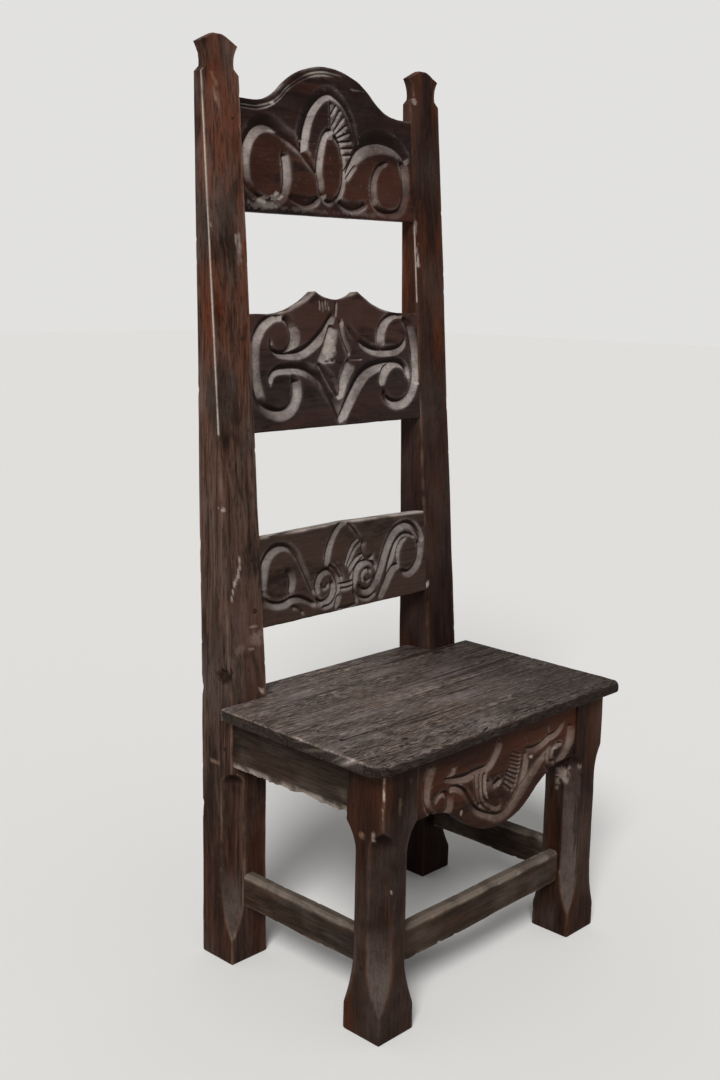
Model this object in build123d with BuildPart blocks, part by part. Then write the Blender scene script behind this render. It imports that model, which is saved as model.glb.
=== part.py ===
from build123d import *
import os
from dataclasses import dataclass
from math import atan2, cos, sqrt

# Joined oak chair: two tapering rear posts, two stop-chamfered front legs, three carved back
# rails, a carved front apron, three seat rails, three stretchers and a two-board seat, all
# held by pegged mortise and tenon joints.
# Frame: millimetres, +Z up, +X to the sitter's left (the viewer's right), front faces -Y.
# The origin lies on the floor at the centre of the plan.

# ---------------------------------------------------------------- driving dimensions
frame_width = 516.0  # over the outer faces of legs and posts
frame_depth = 380.0  # over the front legs' faces and the posts' backs at the floor
leg_side = 70.0
overall_height = 1380.0
seat_height = 420.0
seat_thickness = 18.0

# rear posts above the seat: the front face leans back and the post thins towards its top
post_top_lean = 75.0
post_top_depth = 13.0
post_draw_in = 5.0  # each post leans this far towards the middle at its ledge

# post tops, cut as a capped finial in the width only
finial_height = 54.0
finial_foot_rise = 8.0
finial_cap_rise = 14.0
finial_neck_inset = 8.5
finial_neck_flare = 0.8  # how far the neck has opened again at its middle
finial_flat = 16.0

# chamfers with lamb's-tongue stops
bold_chamfer = 25.0
plain_chamfer = 20.0
chamfer_low_tip = 40.0
chamfer_low_run = 80.0
leg_chamfer_gap = 6.0  # from the upper stop's tip to the seat rails' lower edge
leg_chamfer_high_run = 48.0
post_chamfer_gap = 10.0
post_chamfer_high_run = 24.0

# seat rails and front apron
seat_rail_height = 80.0
seat_rail_thickness = 24.0
seat_rail_recess = 3.0
apron_end_height = 90.0
apron_drop = 62.0
apron_shoulder_share = 0.86
apron_sweep_share = 0.5

# stretchers
stretcher_bottom = 91.0
stretcher_height = 52.0
stretcher_thickness = 21.0
stretcher_setback = 25.0
stretcher_arris = 4.0

# back rails: the crest hangs from the posts' tops, the lower rail stands off the seat,
# and the middle rail lies a little above the middle of what is left
back_rail_recess = 1.5
crest_peak_drop = 19.0
crest_rise = 63.0
crest_height = 159.0
crest_thickness = 13.0
crest_tenon_thickness = 6.0
crest_shoulder_share = 0.87  # of the half length: the level shoulder ends here
crest_sweep_share = 0.375  # of the sweep: its two arcs meet here
middle_rail_bias = 5.0
middle_height = 174.0
middle_rise = 34.0
middle_dip = 13.0
middle_thickness = 20.0
middle_shoulder_share = 0.8
middle_peak_share = 0.25
lower_gap = 104.0
lower_height = 137.0
lower_crown = 4.0
lower_thickness = 22.0
back_tenon_thickness = 8.0

# carving: the ground is cut back and the scrolls are left standing
relief_depth = 2.5
carved_border = 10.0
scroll_width = 11.0
rim_width = 8.0
volute_rim = (0.235, 0.33)  # half axes, as shares of the half length and the crest's height
volute_eye = (0.165, 0.26)
spiral_share = 0.18  # of the lower rail's height

# seat boards
seat_front_overhang = 18.0
seat_side_overhang = 26.0
seat_skew = 4.0  # the boards' ends run slightly out of square
front_board_width = 179.7
seat_joint_gap = 0.3
seat_rear_rest = 9.0  # how far the rear board lies on the rear seat rail
seat_corner_radius = 11.0
seat_edge_round = 5.0
notch_clearance = 0.6

# joints
joint_clearance = 0.2
tenon_length = 34.0
stretcher_tenon_length = 44.0
seat_rail_tenon_thickness = 9.0
stretcher_tenon_height = 19.0
stretcher_tenon_step = 5.0
tenon_shoulder = 10.0
peg_radius = 4.5
peg_sides = 8
peg_clearance = 0.1
peg_setback = 16.0
peg_overrun = 3.0
seat_peg_depth = 42.0
seat_peg_near = 22.0  # from the boards' joint to the nearest peg of the front board
rear_peg_near = 33.0
seat_peg_end = 26.0  # from a leg or post to the last peg beside it
apron_seat_peg_x = 110.0

# ---------------------------------------------------------------- derived places
half_width = frame_width / 2
half_depth = frame_depth / 2
inner_x = half_width - leg_side
leg_back_y = leg_side - half_depth
post_front_y = half_depth - leg_side
post_centre_x = half_width - leg_side / 2
post_front_at_top = post_front_y + post_top_lean
seat_underside = seat_height - seat_thickness
seat_front_y = -half_depth - seat_front_overhang
seat_joint_y = seat_front_y + front_board_width + seat_joint_gap
seat_rail_bottom = seat_underside - seat_rail_height
seat_rail_middle = seat_underside - seat_rail_height / 2
seat_tenon_height = seat_rail_height - 2 * tenon_shoulder
seat_tenon_cheek = (seat_rail_thickness - seat_rail_tenon_thickness) / 2
front_tenon_y = seat_rail_recess + seat_rail_thickness / 2 - half_depth
seat_back_edge_y = half_depth - seat_rail_recess - seat_rail_thickness + seat_rear_rest
stretcher_middle = stretcher_bottom + stretcher_height / 2
stretcher_cheek = (stretcher_thickness - seat_rail_tenon_thickness) / 2
front_stretcher_y = stretcher_setback + stretcher_thickness / 2 - half_depth
# side and front stretcher tenons meet in one leg, so they sit one above the other
side_stretcher_tenon_z = stretcher_bottom + stretcher_tenon_step + stretcher_tenon_height / 2
front_stretcher_tenon_z = (
    stretcher_bottom + stretcher_height - stretcher_tenon_step - stretcher_tenon_height / 2
)

finial_ledge = overall_height - finial_height
finial_neck_foot = finial_ledge + finial_foot_rise
finial_cap = overall_height - finial_cap_rise
back_rise = overall_height - seat_underside
back_lean = atan2(post_top_lean, back_rise)
back_plane = Plane(
    origin=(0, post_front_y, seat_underside),
    x_dir=(1, 0, 0),
    z_dir=(0, -back_rise, post_top_lean),
)
front_face = Plane(origin=(0, -half_depth, 0), x_dir=(1, 0, 0), z_dir=(0, -1, 0))
back_face = Plane(origin=(0, half_depth, 0), x_dir=(-1, 0, 0), z_dir=(0, 1, 0))
left_face = Plane(origin=(-half_width, 0, 0), x_dir=(0, -1, 0), z_dir=(-1, 0, 0))
right_face = Plane(origin=(half_width, 0, 0), x_dir=(0, 1, 0), z_dir=(1, 0, 0))


def slope(height):
    """Distance up the leaning back plane of a point at this height above the floor."""
    return (height - seat_underside) / cos(back_lean)


def post_inner_x(height):
    """Where the inner face of a rear post stands at this height."""
    return inner_x - post_draw_in * max(height - seat_underside, 0) / (finial_ledge - seat_underside)


@dataclass
class BackRail:
    """One carved rail between the rear posts: heights are above the floor."""

    bottom: float
    height: float
    thickness: float
    tenon_thickness: float

    @property
    def shoulder_top(self):
        return self.bottom + self.height

    @property
    def middle(self):
        return self.bottom + self.height / 2

    @property
    def tenon_height(self):
        return self.height - 2 * tenon_shoulder

    @property
    def cheek(self):
        return (self.thickness - self.tenon_thickness) / 2

    @property
    def peg_heights(self):
        return (self.middle - self.tenon_height / 3, self.middle + self.tenon_height / 3)

    def spot(self, across, up):
        """A point on the rail's face: shares of its half length and of its shoulder's height."""
        height = self.bottom + up * self.height
        return (across * post_inner_x(height), slope(height))


crest_peak = overall_height - crest_peak_drop
crest_bottom = crest_peak - crest_rise - crest_height
lower_bottom = seat_height + lower_gap
spare_height = crest_bottom - lower_bottom - lower_height - middle_height
middle_bottom = lower_bottom + lower_height + spare_height / 2 + middle_rail_bias
crest = BackRail(crest_bottom, crest_height, crest_thickness, crest_tenon_thickness)
middle = BackRail(middle_bottom, middle_height, middle_thickness, back_tenon_thickness)
lower = BackRail(lower_bottom, lower_height, lower_thickness, back_tenon_thickness)
back_rails = (crest, middle, lower)


# ---------------------------------------------------------------- shared joint cutters
def back_tenon(rail, clearance, mode):
    """A bar as long as the rail with both its tenons."""
    reach = post_inner_x(rail.middle) + tenon_length
    with BuildSketch(back_plane.offset(clearance - back_rail_recess - rail.cheek)) as bar:
        with Locations((0, slope(rail.middle))):
            Rectangle(2 * (reach + clearance), rail.tenon_height + 2 * clearance)
    extrude(bar.sketch, amount=-(rail.tenon_thickness + 2 * clearance), mode=mode)


def back_pegs(rail, clearance, mode):
    """Pegs driven from the posts' front faces through the tenons of one back rail."""
    depth = back_rail_recess + rail.cheek + rail.tenon_thickness + peg_overrun
    spots = [
        (side * (post_inner_x(height) + peg_setback), slope(height))
        for side in (-1, 1)
        for height in rail.peg_heights
    ]
    drill(back_plane, spots, depth, clearance, mode)


def x_bar(reach, centre_y, centre_z, thickness, height, clearance, mode):
    """A bar along X, symmetrical about the middle: a rail with both its tenons."""
    with Locations((0, centre_y, centre_z)):
        Box(2 * (reach + clearance), thickness + 2 * clearance, height + 2 * clearance, mode=mode)


def y_bar(side, offset, reach, centre_z, thickness, height, clearance, mode):
    """A bar along Y at one side of the frame: a side rail with both its tenons."""
    centre_x = side * (half_width - offset - thickness / 2)
    with Locations((centre_x, 0, centre_z)):
        Box(thickness + 2 * clearance, 2 * (reach + clearance), height + 2 * clearance, mode=mode)


def front_rail_tenons(clearance, mode):
    """The apron's bar with its two tenons."""
    x_bar(inner_x + tenon_length, front_tenon_y, seat_rail_middle,
          seat_rail_tenon_thickness, seat_tenon_height, clearance, mode)


def rear_rail_tenons(clearance, mode):
    """The rear seat rail's bar with its two tenons."""
    x_bar(inner_x + tenon_length, -front_tenon_y, seat_rail_middle,
          seat_rail_tenon_thickness, seat_tenon_height, clearance, mode)


def front_stretcher_tenons(clearance, mode):
    """The front stretcher's bar with its two tenons."""
    x_bar(inner_x + stretcher_tenon_length, front_stretcher_y, front_stretcher_tenon_z,
          seat_rail_tenon_thickness, stretcher_tenon_height, clearance, mode)


def side_rail_tenons(side, clearance, mode):
    """One side seat rail's bar with its two tenons."""
    y_bar(side, seat_rail_recess + seat_tenon_cheek, post_front_y + tenon_length,
          seat_rail_middle, seat_rail_tenon_thickness, seat_tenon_height, clearance, mode)


def side_stretcher_tenons(side, clearance, mode):
    """One side stretcher's bar with its two tenons."""
    y_bar(side, stretcher_setback + stretcher_cheek, post_front_y + stretcher_tenon_length,
          side_stretcher_tenon_z, seat_rail_tenon_thickness, stretcher_tenon_height,
          clearance, mode)


def drill(plane, spots, depth, clearance, mode):
    """Riven eight-sided pegs, or their round holes, run inwards from a face at these spots."""
    with BuildSketch(plane) as dots:
        with Locations(*spots):
            if mode == Mode.ADD:
                RegularPolygon(peg_radius, peg_sides)
            else:
                Circle(peg_radius + clearance)
    extrude(dots.sketch, amount=-(depth + clearance), mode=mode)


seat_peg_heights = (seat_rail_middle - seat_tenon_height / 4, seat_rail_middle + seat_tenon_height / 4)
seat_rail_peg_depth = seat_rail_recess + seat_rail_thickness
stretcher_peg_depth = stretcher_setback + stretcher_thickness


def apron_pegs(clearance, mode):
    """Pegs through the apron's tenons, from the front legs' front faces."""
    spots = [(s * (inner_x + peg_setback), z) for s in (-1, 1) for z in seat_peg_heights]
    drill(front_face, spots, seat_rail_peg_depth, clearance, mode)


def rear_rail_pegs(clearance, mode):
    """Pegs through the rear seat rail's tenons, from the posts' backs."""
    spots = [(s * (inner_x + peg_setback), z) for s in (-1, 1) for z in seat_peg_heights]
    drill(back_face, spots, seat_rail_peg_depth, clearance, mode)


def side_rail_pegs(clearance, mode):
    """Pegs through the side seat rails' tenons, from the outer faces of legs and posts."""
    reach = post_front_y + peg_setback
    spots = [(s * reach, z) for s in (-1, 1) for z in seat_peg_heights]
    drill(left_face, spots, seat_rail_peg_depth, clearance, mode)
    drill(right_face, spots, seat_rail_peg_depth, clearance, mode)


def side_stretcher_pegs(clearance, mode):
    """Pegs through the side stretchers' tenons, from the outer faces of legs and posts."""
    reach = post_front_y + stretcher_tenon_length * 3 / 4
    spots = [(s * reach, side_stretcher_tenon_z) for s in (-1, 1)]
    drill(left_face, spots, stretcher_peg_depth, clearance, mode)
    drill(right_face, spots, stretcher_peg_depth, clearance, mode)


def front_stretcher_pegs(clearance, mode):
    """Pegs through the front stretcher's tenons, from the front legs' front faces."""
    reach = inner_x + stretcher_tenon_length * 3 / 4
    spots = [(s * reach, front_stretcher_tenon_z) for s in (-1, 1)]
    drill(front_face, spots, stretcher_peg_depth, clearance, mode)


def seat_pegs(clearance, mode):
    """Pegs that fix the seat boards down into the side rails and the apron."""
    rail_x = half_width - seat_rail_recess - seat_rail_thickness / 2
    rows = (
        leg_back_y + seat_peg_end,
        seat_joint_y - seat_peg_near,
        seat_joint_y + rear_peg_near,
        post_front_y - seat_peg_end,
    )
    spots = [(side * rail_x, y) for side in (-1, 1) for y in rows]
    spots += [(side * apron_seat_peg_x, front_tenon_y) for side in (-1, 1)]
    drill(Plane.XY.offset(seat_height), spots, seat_peg_depth, clearance, mode)


def stop_chamfer(side, corner, outward, width, gap, high_run):
    """Cut one corner with a long chamfer that runs out in a curved stop at each end.

    The profile is drawn on the upright plane that halves the corner, so the stops
    come out as the single curved cut that a chisel leaves.
    """
    depth = width / sqrt(2)
    out_x = side * outward[0]
    out_y = outward[1]
    cut_plane = Plane(
        origin=(side * corner[0], corner[1], 0),
        x_dir=(out_x, out_y, 0),
        z_dir=(out_y, -out_x, 0),
    )
    low_end = chamfer_low_tip + chamfer_low_run
    high_tip = seat_rail_bottom - gap
    high_start = high_tip - high_run
    with BuildSketch(cut_plane) as waste:
        with BuildLine():
            Polyline((0, high_tip), (width, high_tip), (width, chamfer_low_tip), (0, chamfer_low_tip))
            TangentArc((-depth, low_end), (0, chamfer_low_tip), tangent=(0, -1))
            Line((-depth, low_end), (-depth, high_start))
            TangentArc((-depth, high_start), (0, high_tip), tangent=(0, 1))
        make_face()
    extrude(waste.sketch, amount=leg_side / 2, both=True, mode=Mode.SUBTRACT)


# ---------------------------------------------------------------- front legs
def front_leg(side, name):
    """One square front leg, chamfered on all four corners between apron and foot."""
    with BuildPart() as leg:
        with BuildSketch(Plane.XY):
            with Locations((side * post_centre_x, leg_side / 2 - half_depth)):
                Rectangle(leg_side, leg_side)
        extrude(amount=seat_underside)
        corners = (
            ((half_width, -half_depth), (1, -1), bold_chamfer),
            ((inner_x, -half_depth), (-1, -1), plain_chamfer),
            ((half_width, leg_back_y), (1, 1), plain_chamfer),
            ((inner_x, leg_back_y), (-1, 1), plain_chamfer),
        )
        for corner, outward, width in corners:
            stop_chamfer(side, corner, outward, width, leg_chamfer_gap, leg_chamfer_high_run)
        front_rail_tenons(joint_clearance, Mode.SUBTRACT)
        side_rail_tenons(side, joint_clearance, Mode.SUBTRACT)
        front_stretcher_tenons(joint_clearance, Mode.SUBTRACT)
        side_stretcher_tenons(side, joint_clearance, Mode.SUBTRACT)
        apron_pegs(peg_clearance, Mode.SUBTRACT)
        side_rail_pegs(peg_clearance, Mode.SUBTRACT)
        side_stretcher_pegs(peg_clearance, Mode.SUBTRACT)
        front_stretcher_pegs(peg_clearance, Mode.SUBTRACT)
    leg.part.label = name
    export_step(leg.part, f"parts/{name}.step")


# ---------------------------------------------------------------- rear posts
def rear_post(side, name):
    """One rear post: square below the seat, tapering and leaning above it, with a capped top."""
    base_centre = side * post_centre_x
    ledge_centre = side * (post_centre_x - post_draw_in)
    half_side = leg_side / 2
    neck = half_side - finial_neck_inset
    neck_middle = (finial_neck_foot + finial_cap) / 2
    with BuildPart() as post:
        with BuildSketch(Plane.YZ):
            with BuildLine():
                Polyline(
                    (post_front_y, 0),
                    (half_depth, 0),
                    (half_depth, seat_underside),
                    (post_front_at_top + post_top_depth, overall_height),
                    (post_front_at_top, overall_height),
                    (post_front_y, seat_underside),
                    close=True,
                )
            make_face()
        extrude(amount=half_width + leg_side, both=True)
        with BuildSketch(front_face.offset(-2 * frame_depth)):
            with BuildLine():
                Polyline(
                    (ledge_centre - neck, finial_neck_foot),
                    (ledge_centre - half_side, finial_ledge),
                    (base_centre - half_side, seat_underside),
                    (base_centre - half_side, 0),
                    (base_centre + half_side, 0),
                    (base_centre + half_side, seat_underside),
                    (ledge_centre + half_side, finial_ledge),
                    (ledge_centre + neck, finial_neck_foot),
                )
                ThreePointArc(
                    (ledge_centre + neck, finial_neck_foot),
                    (ledge_centre + neck + finial_neck_flare, neck_middle),
                    (ledge_centre + half_side, finial_cap),
                )
                Polyline(
                    (ledge_centre + half_side, finial_cap),
                    (ledge_centre + finial_flat / 2, overall_height),
                    (ledge_centre - finial_flat / 2, overall_height),
                    (ledge_centre - half_side, finial_cap),
                )
                ThreePointArc(
                    (ledge_centre - half_side, finial_cap),
                    (ledge_centre - neck - finial_neck_flare, neck_middle),
                    (ledge_centre - neck, finial_neck_foot),
                )
            make_face()
        extrude(amount=4 * frame_depth, mode=Mode.INTERSECT)
        stop_chamfer(side, (half_width, post_front_y), (1, -1), bold_chamfer,
                     post_chamfer_gap, post_chamfer_high_run)
        for rail in back_rails:
            back_tenon(rail, joint_clearance, Mode.SUBTRACT)
            back_pegs(rail, peg_clearance, Mode.SUBTRACT)
        rear_rail_tenons(joint_clearance, Mode.SUBTRACT)
        side_rail_tenons(side, joint_clearance, Mode.SUBTRACT)
        side_stretcher_tenons(side, joint_clearance, Mode.SUBTRACT)
        rear_rail_pegs(peg_clearance, Mode.SUBTRACT)
        side_rail_pegs(peg_clearance, Mode.SUBTRACT)
        side_stretcher_pegs(peg_clearance, Mode.SUBTRACT)
    post.part.label = name
    export_step(post.part, f"parts/{name}.step")


# ---------------------------------------------------------------- carving
def scroll(points, width):
    """One raised band along a smooth line through the given points, on both halves."""
    stations = [step / len(points) for step in range(len(points) + 1)]
    for side in (-1, 1):
        with BuildLine() as edge:
            spine = Spline(*[(side * across, up) for across, up in points], mode=Mode.PRIVATE)
            half = [spine.tangent_at(share).rotate(Axis.Z, 90) * (width / 2) for share in stations]
            left = [spine.position_at(share) + out for share, out in zip(stations, half)]
            right = [spine.position_at(share) - out for share, out in zip(stations, half)]
            Spline(*left)
            Line(left[-1], right[-1])
            Spline(*reversed(right))
            Line(right[0], left[0])
        make_face(edge.line, mode=Mode.SUBTRACT)


def mirrored_shape(points):
    """One raised flat form, given as the right half of its outline, middle to middle."""
    with BuildLine() as edge:
        Polyline(*points)
        mirror(about=Plane.YZ)
    make_face(edge.line, mode=Mode.SUBTRACT)


def discs(centre, radius):
    """A pair of raised round forms, one on each half."""
    with Locations(centre, (-centre[0], centre[1])):
        Circle(radius, mode=Mode.SUBTRACT)


def crest_carving():
    """Raised forms of the crest: two oval volutes, leaf lobes and a pointed palmette."""
    volute = crest.spot(0.72, 0.42)
    for side in (-1, 1):
        with Locations((side * volute[0], volute[1])):
            for (wide, high), mode in ((volute_rim, Mode.SUBTRACT), (volute_eye, Mode.ADD)):
                Ellipse(wide * inner_x, high * crest_height, mode=mode)
    scroll([crest.spot(*p) for p in ((0.5, 0.2), (0.36, 0.42), (0.3, 0.62), (0.22, 0.88), (0, 1.1))],
           rim_width)
    scroll([crest.spot(*p) for p in ((0.52, 0.6), (0.36, 0.5), (0.24, 0.38), (0.13, 0.15))],
           scroll_width)
    scroll([crest.spot(*p) for p in ((0.5, 0.12), (0.33, 0.2), (0.17, 0.12))], scroll_width)
    mirrored_shape([crest.spot(*p) for p in ((0, 0.72), (0.06, 0.62), (0.1, 0.42), (0.04, 0.14), (0, 0.12))])
    for flute in (((0.03, 0.76), (0.06, 0.98)), ((0.06, 0.74), (0.15, 0.9)), ((0.09, 0.68), (0.21, 0.74))):
        scroll([crest.spot(*p) for p in flute], rim_width / 2)


def middle_carving():
    """Raised forms of the middle rail: C-scrolls whose arms meet round a four-pointed star."""
    scroll([middle.spot(*p) for p in ((0.51, 0.85), (0.69, 0.91), (0.86, 0.8), (0.92, 0.5),
                                      (0.86, 0.25), (0.69, 0.16), (0.52, 0.27), (0.5, 0.36))],
           scroll_width)
    scroll([middle.spot(*p) for p in ((0.76, 0.76), (0.66, 0.65), (0.43, 0.67), (0.22, 0.8), (0.05, 0.95))],
           scroll_width)
    scroll([middle.spot(*p) for p in ((0.79, 0.38), (0.68, 0.47), (0.43, 0.46), (0.24, 0.33), (0.06, 0.08))],
           scroll_width)
    mirrored_shape([middle.spot(*p) for p in ((0, 0.94), (0.08, 0.72), (0.28, 0.58), (0.09, 0.45), (0, 0.24))])


def lower_carving():
    """Raised forms of the lower rail: S-scrolls with round volutes beside a pointed leaf."""
    discs(lower.spot(0.785, 0.49), spiral_share * lower_height)
    scroll([lower.spot(*p) for p in ((0.93, 0.55), (0.88, 0.72), (0.77, 0.8), (0.66, 0.72), (0.56, 0.56),
                                     (0.47, 0.36), (0.39, 0.2), (0.29, 0.17), (0.225, 0.28), (0.26, 0.4))],
           scroll_width)
    scroll([lower.spot(*p) for p in ((0.9, 0.2), (0.72, 0.24), (0.58, 0.18), (0.5, 0.08))], scroll_width)
    mirrored_shape([lower.spot(*p) for p in ((0, 0.97), (0.12, 0.9), (0.2, 0.78), (0.23, 0.6), (0.07, 0.42),
                                             (0.05, 0.24), (0.12, 0.1), (0, 0.08))])


def apron_spot(across, down):
    """A point on the apron's face: shares of its half length and of its height at the ends."""
    return (across * inner_x, seat_underside - down * apron_end_height)


def apron_carving():
    """Raised forms of the apron: side volutes whose arms hang round a fluted shell."""
    scroll([apron_spot(*p) for p in ((0.88, 0.2), (0.9, 0.6), (0.82, 0.88), (0.72, 0.9), (0.64, 0.72),
                                     (0.5, 0.82), (0.37, 1.1), (0.2, 1.42), (0, 1.52))],
           scroll_width)
    scroll([apron_spot(*p) for p in ((0.76, 0.42), (0.66, 0.5), (0.45, 0.62), (0.2, 0.58), (0.06, 0.35))],
           scroll_width)
    scroll([apron_spot(*p) for p in ((0.29, 0.62), (0.28, 0.95), (0.19, 1.26), (0, 1.4))], rim_width)
    mirrored_shape([apron_spot(*p) for p in ((0, 0.7), (0.14, 0.8), (0.16, 1.0), (0.1, 1.2), (0, 1.28))])


def sunk_ground(face_plane, outline, raised_forms):
    """The carving's ground: the board's face inside its border, less the raised forms."""
    with BuildSketch(face_plane) as ground:
        with BuildLine() as edge:
            outline()
            mirror(about=Plane.YZ)
        make_face()
        offset(amount=-carved_border, kind=Kind.INTERSECTION, mode=Mode.REPLACE)
        raised_forms()
    return ground.sketch


# ---------------------------------------------------------------- carved back rails
def ogee(start, end, share):
    """Two arcs that leave both ends level and meet at this share of the way between them."""
    join = (start[0] + share * (end[0] - start[0]), start[1] + share * (end[1] - start[1]))
    TangentArc(start, join, tangent=(-1, 0))
    TangentArc(end, join, tangent=(1, 0))


def crest_outline():
    """Half of the crest: a level shoulder that sweeps up in an ogee to the peak."""
    end_top = post_inner_x(crest.shoulder_top)
    shoulder = (crest_shoulder_share * end_top, slope(crest.shoulder_top))
    Polyline(
        (0, slope(crest_bottom)),
        (post_inner_x(crest_bottom), slope(crest_bottom)),
        (end_top, slope(crest.shoulder_top)),
        shoulder,
    )
    ogee(shoulder, (0, slope(crest_peak)), crest_sweep_share)


def middle_outline():
    """Half of the middle rail: a low shoulder that rises to a peak and dips to the centre."""
    end_top = post_inner_x(middle.shoulder_top)
    shoulder = (middle_shoulder_share * end_top, slope(middle.shoulder_top))
    height = middle.shoulder_top + middle_rise
    peak = (middle_peak_share * end_top, slope(height))
    Polyline(
        (0, slope(middle_bottom)),
        (post_inner_x(middle_bottom), slope(middle_bottom)),
        (end_top, slope(middle.shoulder_top)),
        shoulder,
    )
    TangentArc(shoulder, peak, tangent=(-1, 0))
    TangentArc((0, slope(height - middle_dip)), peak, tangent=(1, 0))


def lower_outline():
    """Half of the lower rail: a plain board with a nearly straight top."""
    Polyline(
        (0, slope(lower_bottom)),
        (post_inner_x(lower_bottom), slope(lower_bottom)),
        (post_inner_x(lower.shoulder_top), slope(lower.shoulder_top)),
        (0, slope(lower.shoulder_top + lower_crown)),
    )


def apron_outline():
    """Half of the apron: straight at the ends, with a rounded drop in the middle."""
    end_bottom = seat_underside - apron_end_height
    shoulder = (apron_shoulder_share * inner_x, end_bottom)
    Polyline(
        (0, seat_underside),
        (inner_x, seat_underside),
        (inner_x, end_bottom),
        shoulder,
    )
    ogee(shoulder, (0, end_bottom - apron_drop), apron_sweep_share)


def back_rail(rail, outline, carving, name):
    """One back rail cut to its outline, with a tenon at each end, drilled and carved."""
    rail_face = back_plane.offset(-back_rail_recess)
    with BuildPart() as board:
        with BuildSketch(rail_face):
            with BuildLine():
                outline()
                mirror(about=Plane.YZ)
            make_face()
        extrude(amount=-rail.thickness)
        back_tenon(rail, 0, Mode.ADD)
        back_pegs(rail, peg_clearance, Mode.SUBTRACT)
        extrude(sunk_ground(rail_face, outline, carving), amount=-relief_depth, mode=Mode.SUBTRACT)
    board.part.label = name
    export_step(board.part, f"parts/{name}.step")


# ---------------------------------------------------------------- apron, seat rails, stretchers
def front_apron():
    """The carved front seat rail, with a drop in the middle of its lower edge."""
    apron_face = front_face.offset(-seat_rail_recess)
    with BuildPart() as apron:
        with BuildSketch(apron_face):
            with BuildLine():
                apron_outline()
                mirror(about=Plane.YZ)
            make_face()
        extrude(amount=-seat_rail_thickness)
        front_rail_tenons(0, Mode.ADD)
        apron_pegs(peg_clearance, Mode.SUBTRACT)
        seat_pegs(peg_clearance, Mode.SUBTRACT)
        ground = sunk_ground(apron_face, apron_outline, apron_carving)
        extrude(ground, amount=-relief_depth, mode=Mode.SUBTRACT)
    apron.part.label = "front_apron"
    export_step(apron.part, "parts/front_apron.step")


def rear_seat_rail():
    """The plain rail between the rear posts, under the back edge of the seat."""
    with BuildPart() as rail:
        x_bar(inner_x, -front_tenon_y, seat_rail_middle, seat_rail_thickness,
              seat_rail_height, 0, Mode.ADD)
        rear_rail_tenons(0, Mode.ADD)
        rear_rail_pegs(peg_clearance, Mode.SUBTRACT)
    rail.part.label = "seat_rail_rear"
    export_step(rail.part, "parts/seat_rail_rear.step")


def side_seat_rail(side, name):
    """One plain side rail under the seat."""
    with BuildPart() as rail:
        y_bar(side, seat_rail_recess, post_front_y, seat_rail_middle,
              seat_rail_thickness, seat_rail_height, 0, Mode.ADD)
        side_rail_tenons(side, 0, Mode.ADD)
        side_rail_pegs(peg_clearance, Mode.SUBTRACT)
        seat_pegs(peg_clearance, Mode.SUBTRACT)
    rail.part.label = name
    export_step(rail.part, f"parts/{name}.step")


def side_stretcher(side, name):
    """One low side stretcher with worn-down upper edges."""
    with BuildPart() as bar:
        y_bar(side, stretcher_setback, post_front_y, stretcher_middle,
              stretcher_thickness, stretcher_height, 0, Mode.ADD)
        upper = bar.edges().filter_by(Axis.Y).group_by(Axis.Z)[-1]
        chamfer(upper, length=stretcher_arris)
        side_stretcher_tenons(side, 0, Mode.ADD)
        side_stretcher_pegs(peg_clearance, Mode.SUBTRACT)
    bar.part.label = name
    export_step(bar.part, f"parts/{name}.step")


def front_stretcher():
    """The low front stretcher, with worn-down upper edges."""
    with BuildPart() as bar:
        x_bar(inner_x, front_stretcher_y, stretcher_middle,
              stretcher_thickness, stretcher_height, 0, Mode.ADD)
        upper = bar.edges().filter_by(Axis.X).group_by(Axis.Z)[-1]
        chamfer(upper, length=stretcher_arris)
        front_stretcher_tenons(0, Mode.ADD)
        front_stretcher_pegs(peg_clearance, Mode.SUBTRACT)
    bar.part.label = "stretcher_front"
    export_step(bar.part, "parts/stretcher_front.step")


# ---------------------------------------------------------------- seat boards
def seat_end_x(side, y):
    """Where the boards' end lies at this depth: it runs slightly out of square."""
    front = half_width + seat_side_overhang - side * seat_skew
    rear = half_width + seat_side_overhang + side * seat_skew
    share = (y - seat_front_y) / (post_front_y - notch_clearance - seat_front_y)
    return side * (front + (rear - front) * share)


def seat_board(name, front_y, back_y, with_notches):
    """One plank of the seat; the rear one is notched round the posts."""
    ear_back_y = post_front_y - notch_clearance
    notch_x = inner_x - notch_clearance
    side_back_y = min(back_y, ear_back_y)
    outline = [(seat_end_x(-1, front_y), front_y), (seat_end_x(1, front_y), front_y)]
    outline += [(seat_end_x(1, side_back_y), side_back_y)]
    if with_notches:
        outline += [(notch_x, ear_back_y), (notch_x, back_y), (-notch_x, back_y), (-notch_x, ear_back_y)]
    outline += [(seat_end_x(-1, side_back_y), side_back_y)]
    with BuildPart() as board:
        with BuildSketch(Plane.XY.offset(seat_underside)) as plan:
            with BuildLine():
                Polyline(*outline, close=True)
            make_face()
            if not with_notches:
                fillet(plan.vertices().group_by(Axis.Y)[0], radius=seat_corner_radius)
        extrude(amount=seat_thickness)
        top_edges = board.edges().group_by(Axis.Z)[-1]
        if with_notches:
            rounded = top_edges.sort_by(Axis.X)[0:1] + top_edges.sort_by(Axis.X)[-1:]
        else:
            rounded = top_edges.filter_by(lambda edge: edge.center().Y < back_y - seat_edge_round)
        fillet(rounded, radius=seat_edge_round)
        seat_pegs(peg_clearance, Mode.SUBTRACT)
    board.part.label = name
    export_step(board.part, f"parts/{name}.step")


# ---------------------------------------------------------------- pegs
def peg_set(name, *makers):
    """One set of like pegs as separate solids in a single node."""
    with BuildPart() as pegs:
        for maker in makers:
            maker(0, Mode.ADD)
    pegs.part.label = name
    export_step(pegs.part, f"parts/{name}.step")


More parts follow.
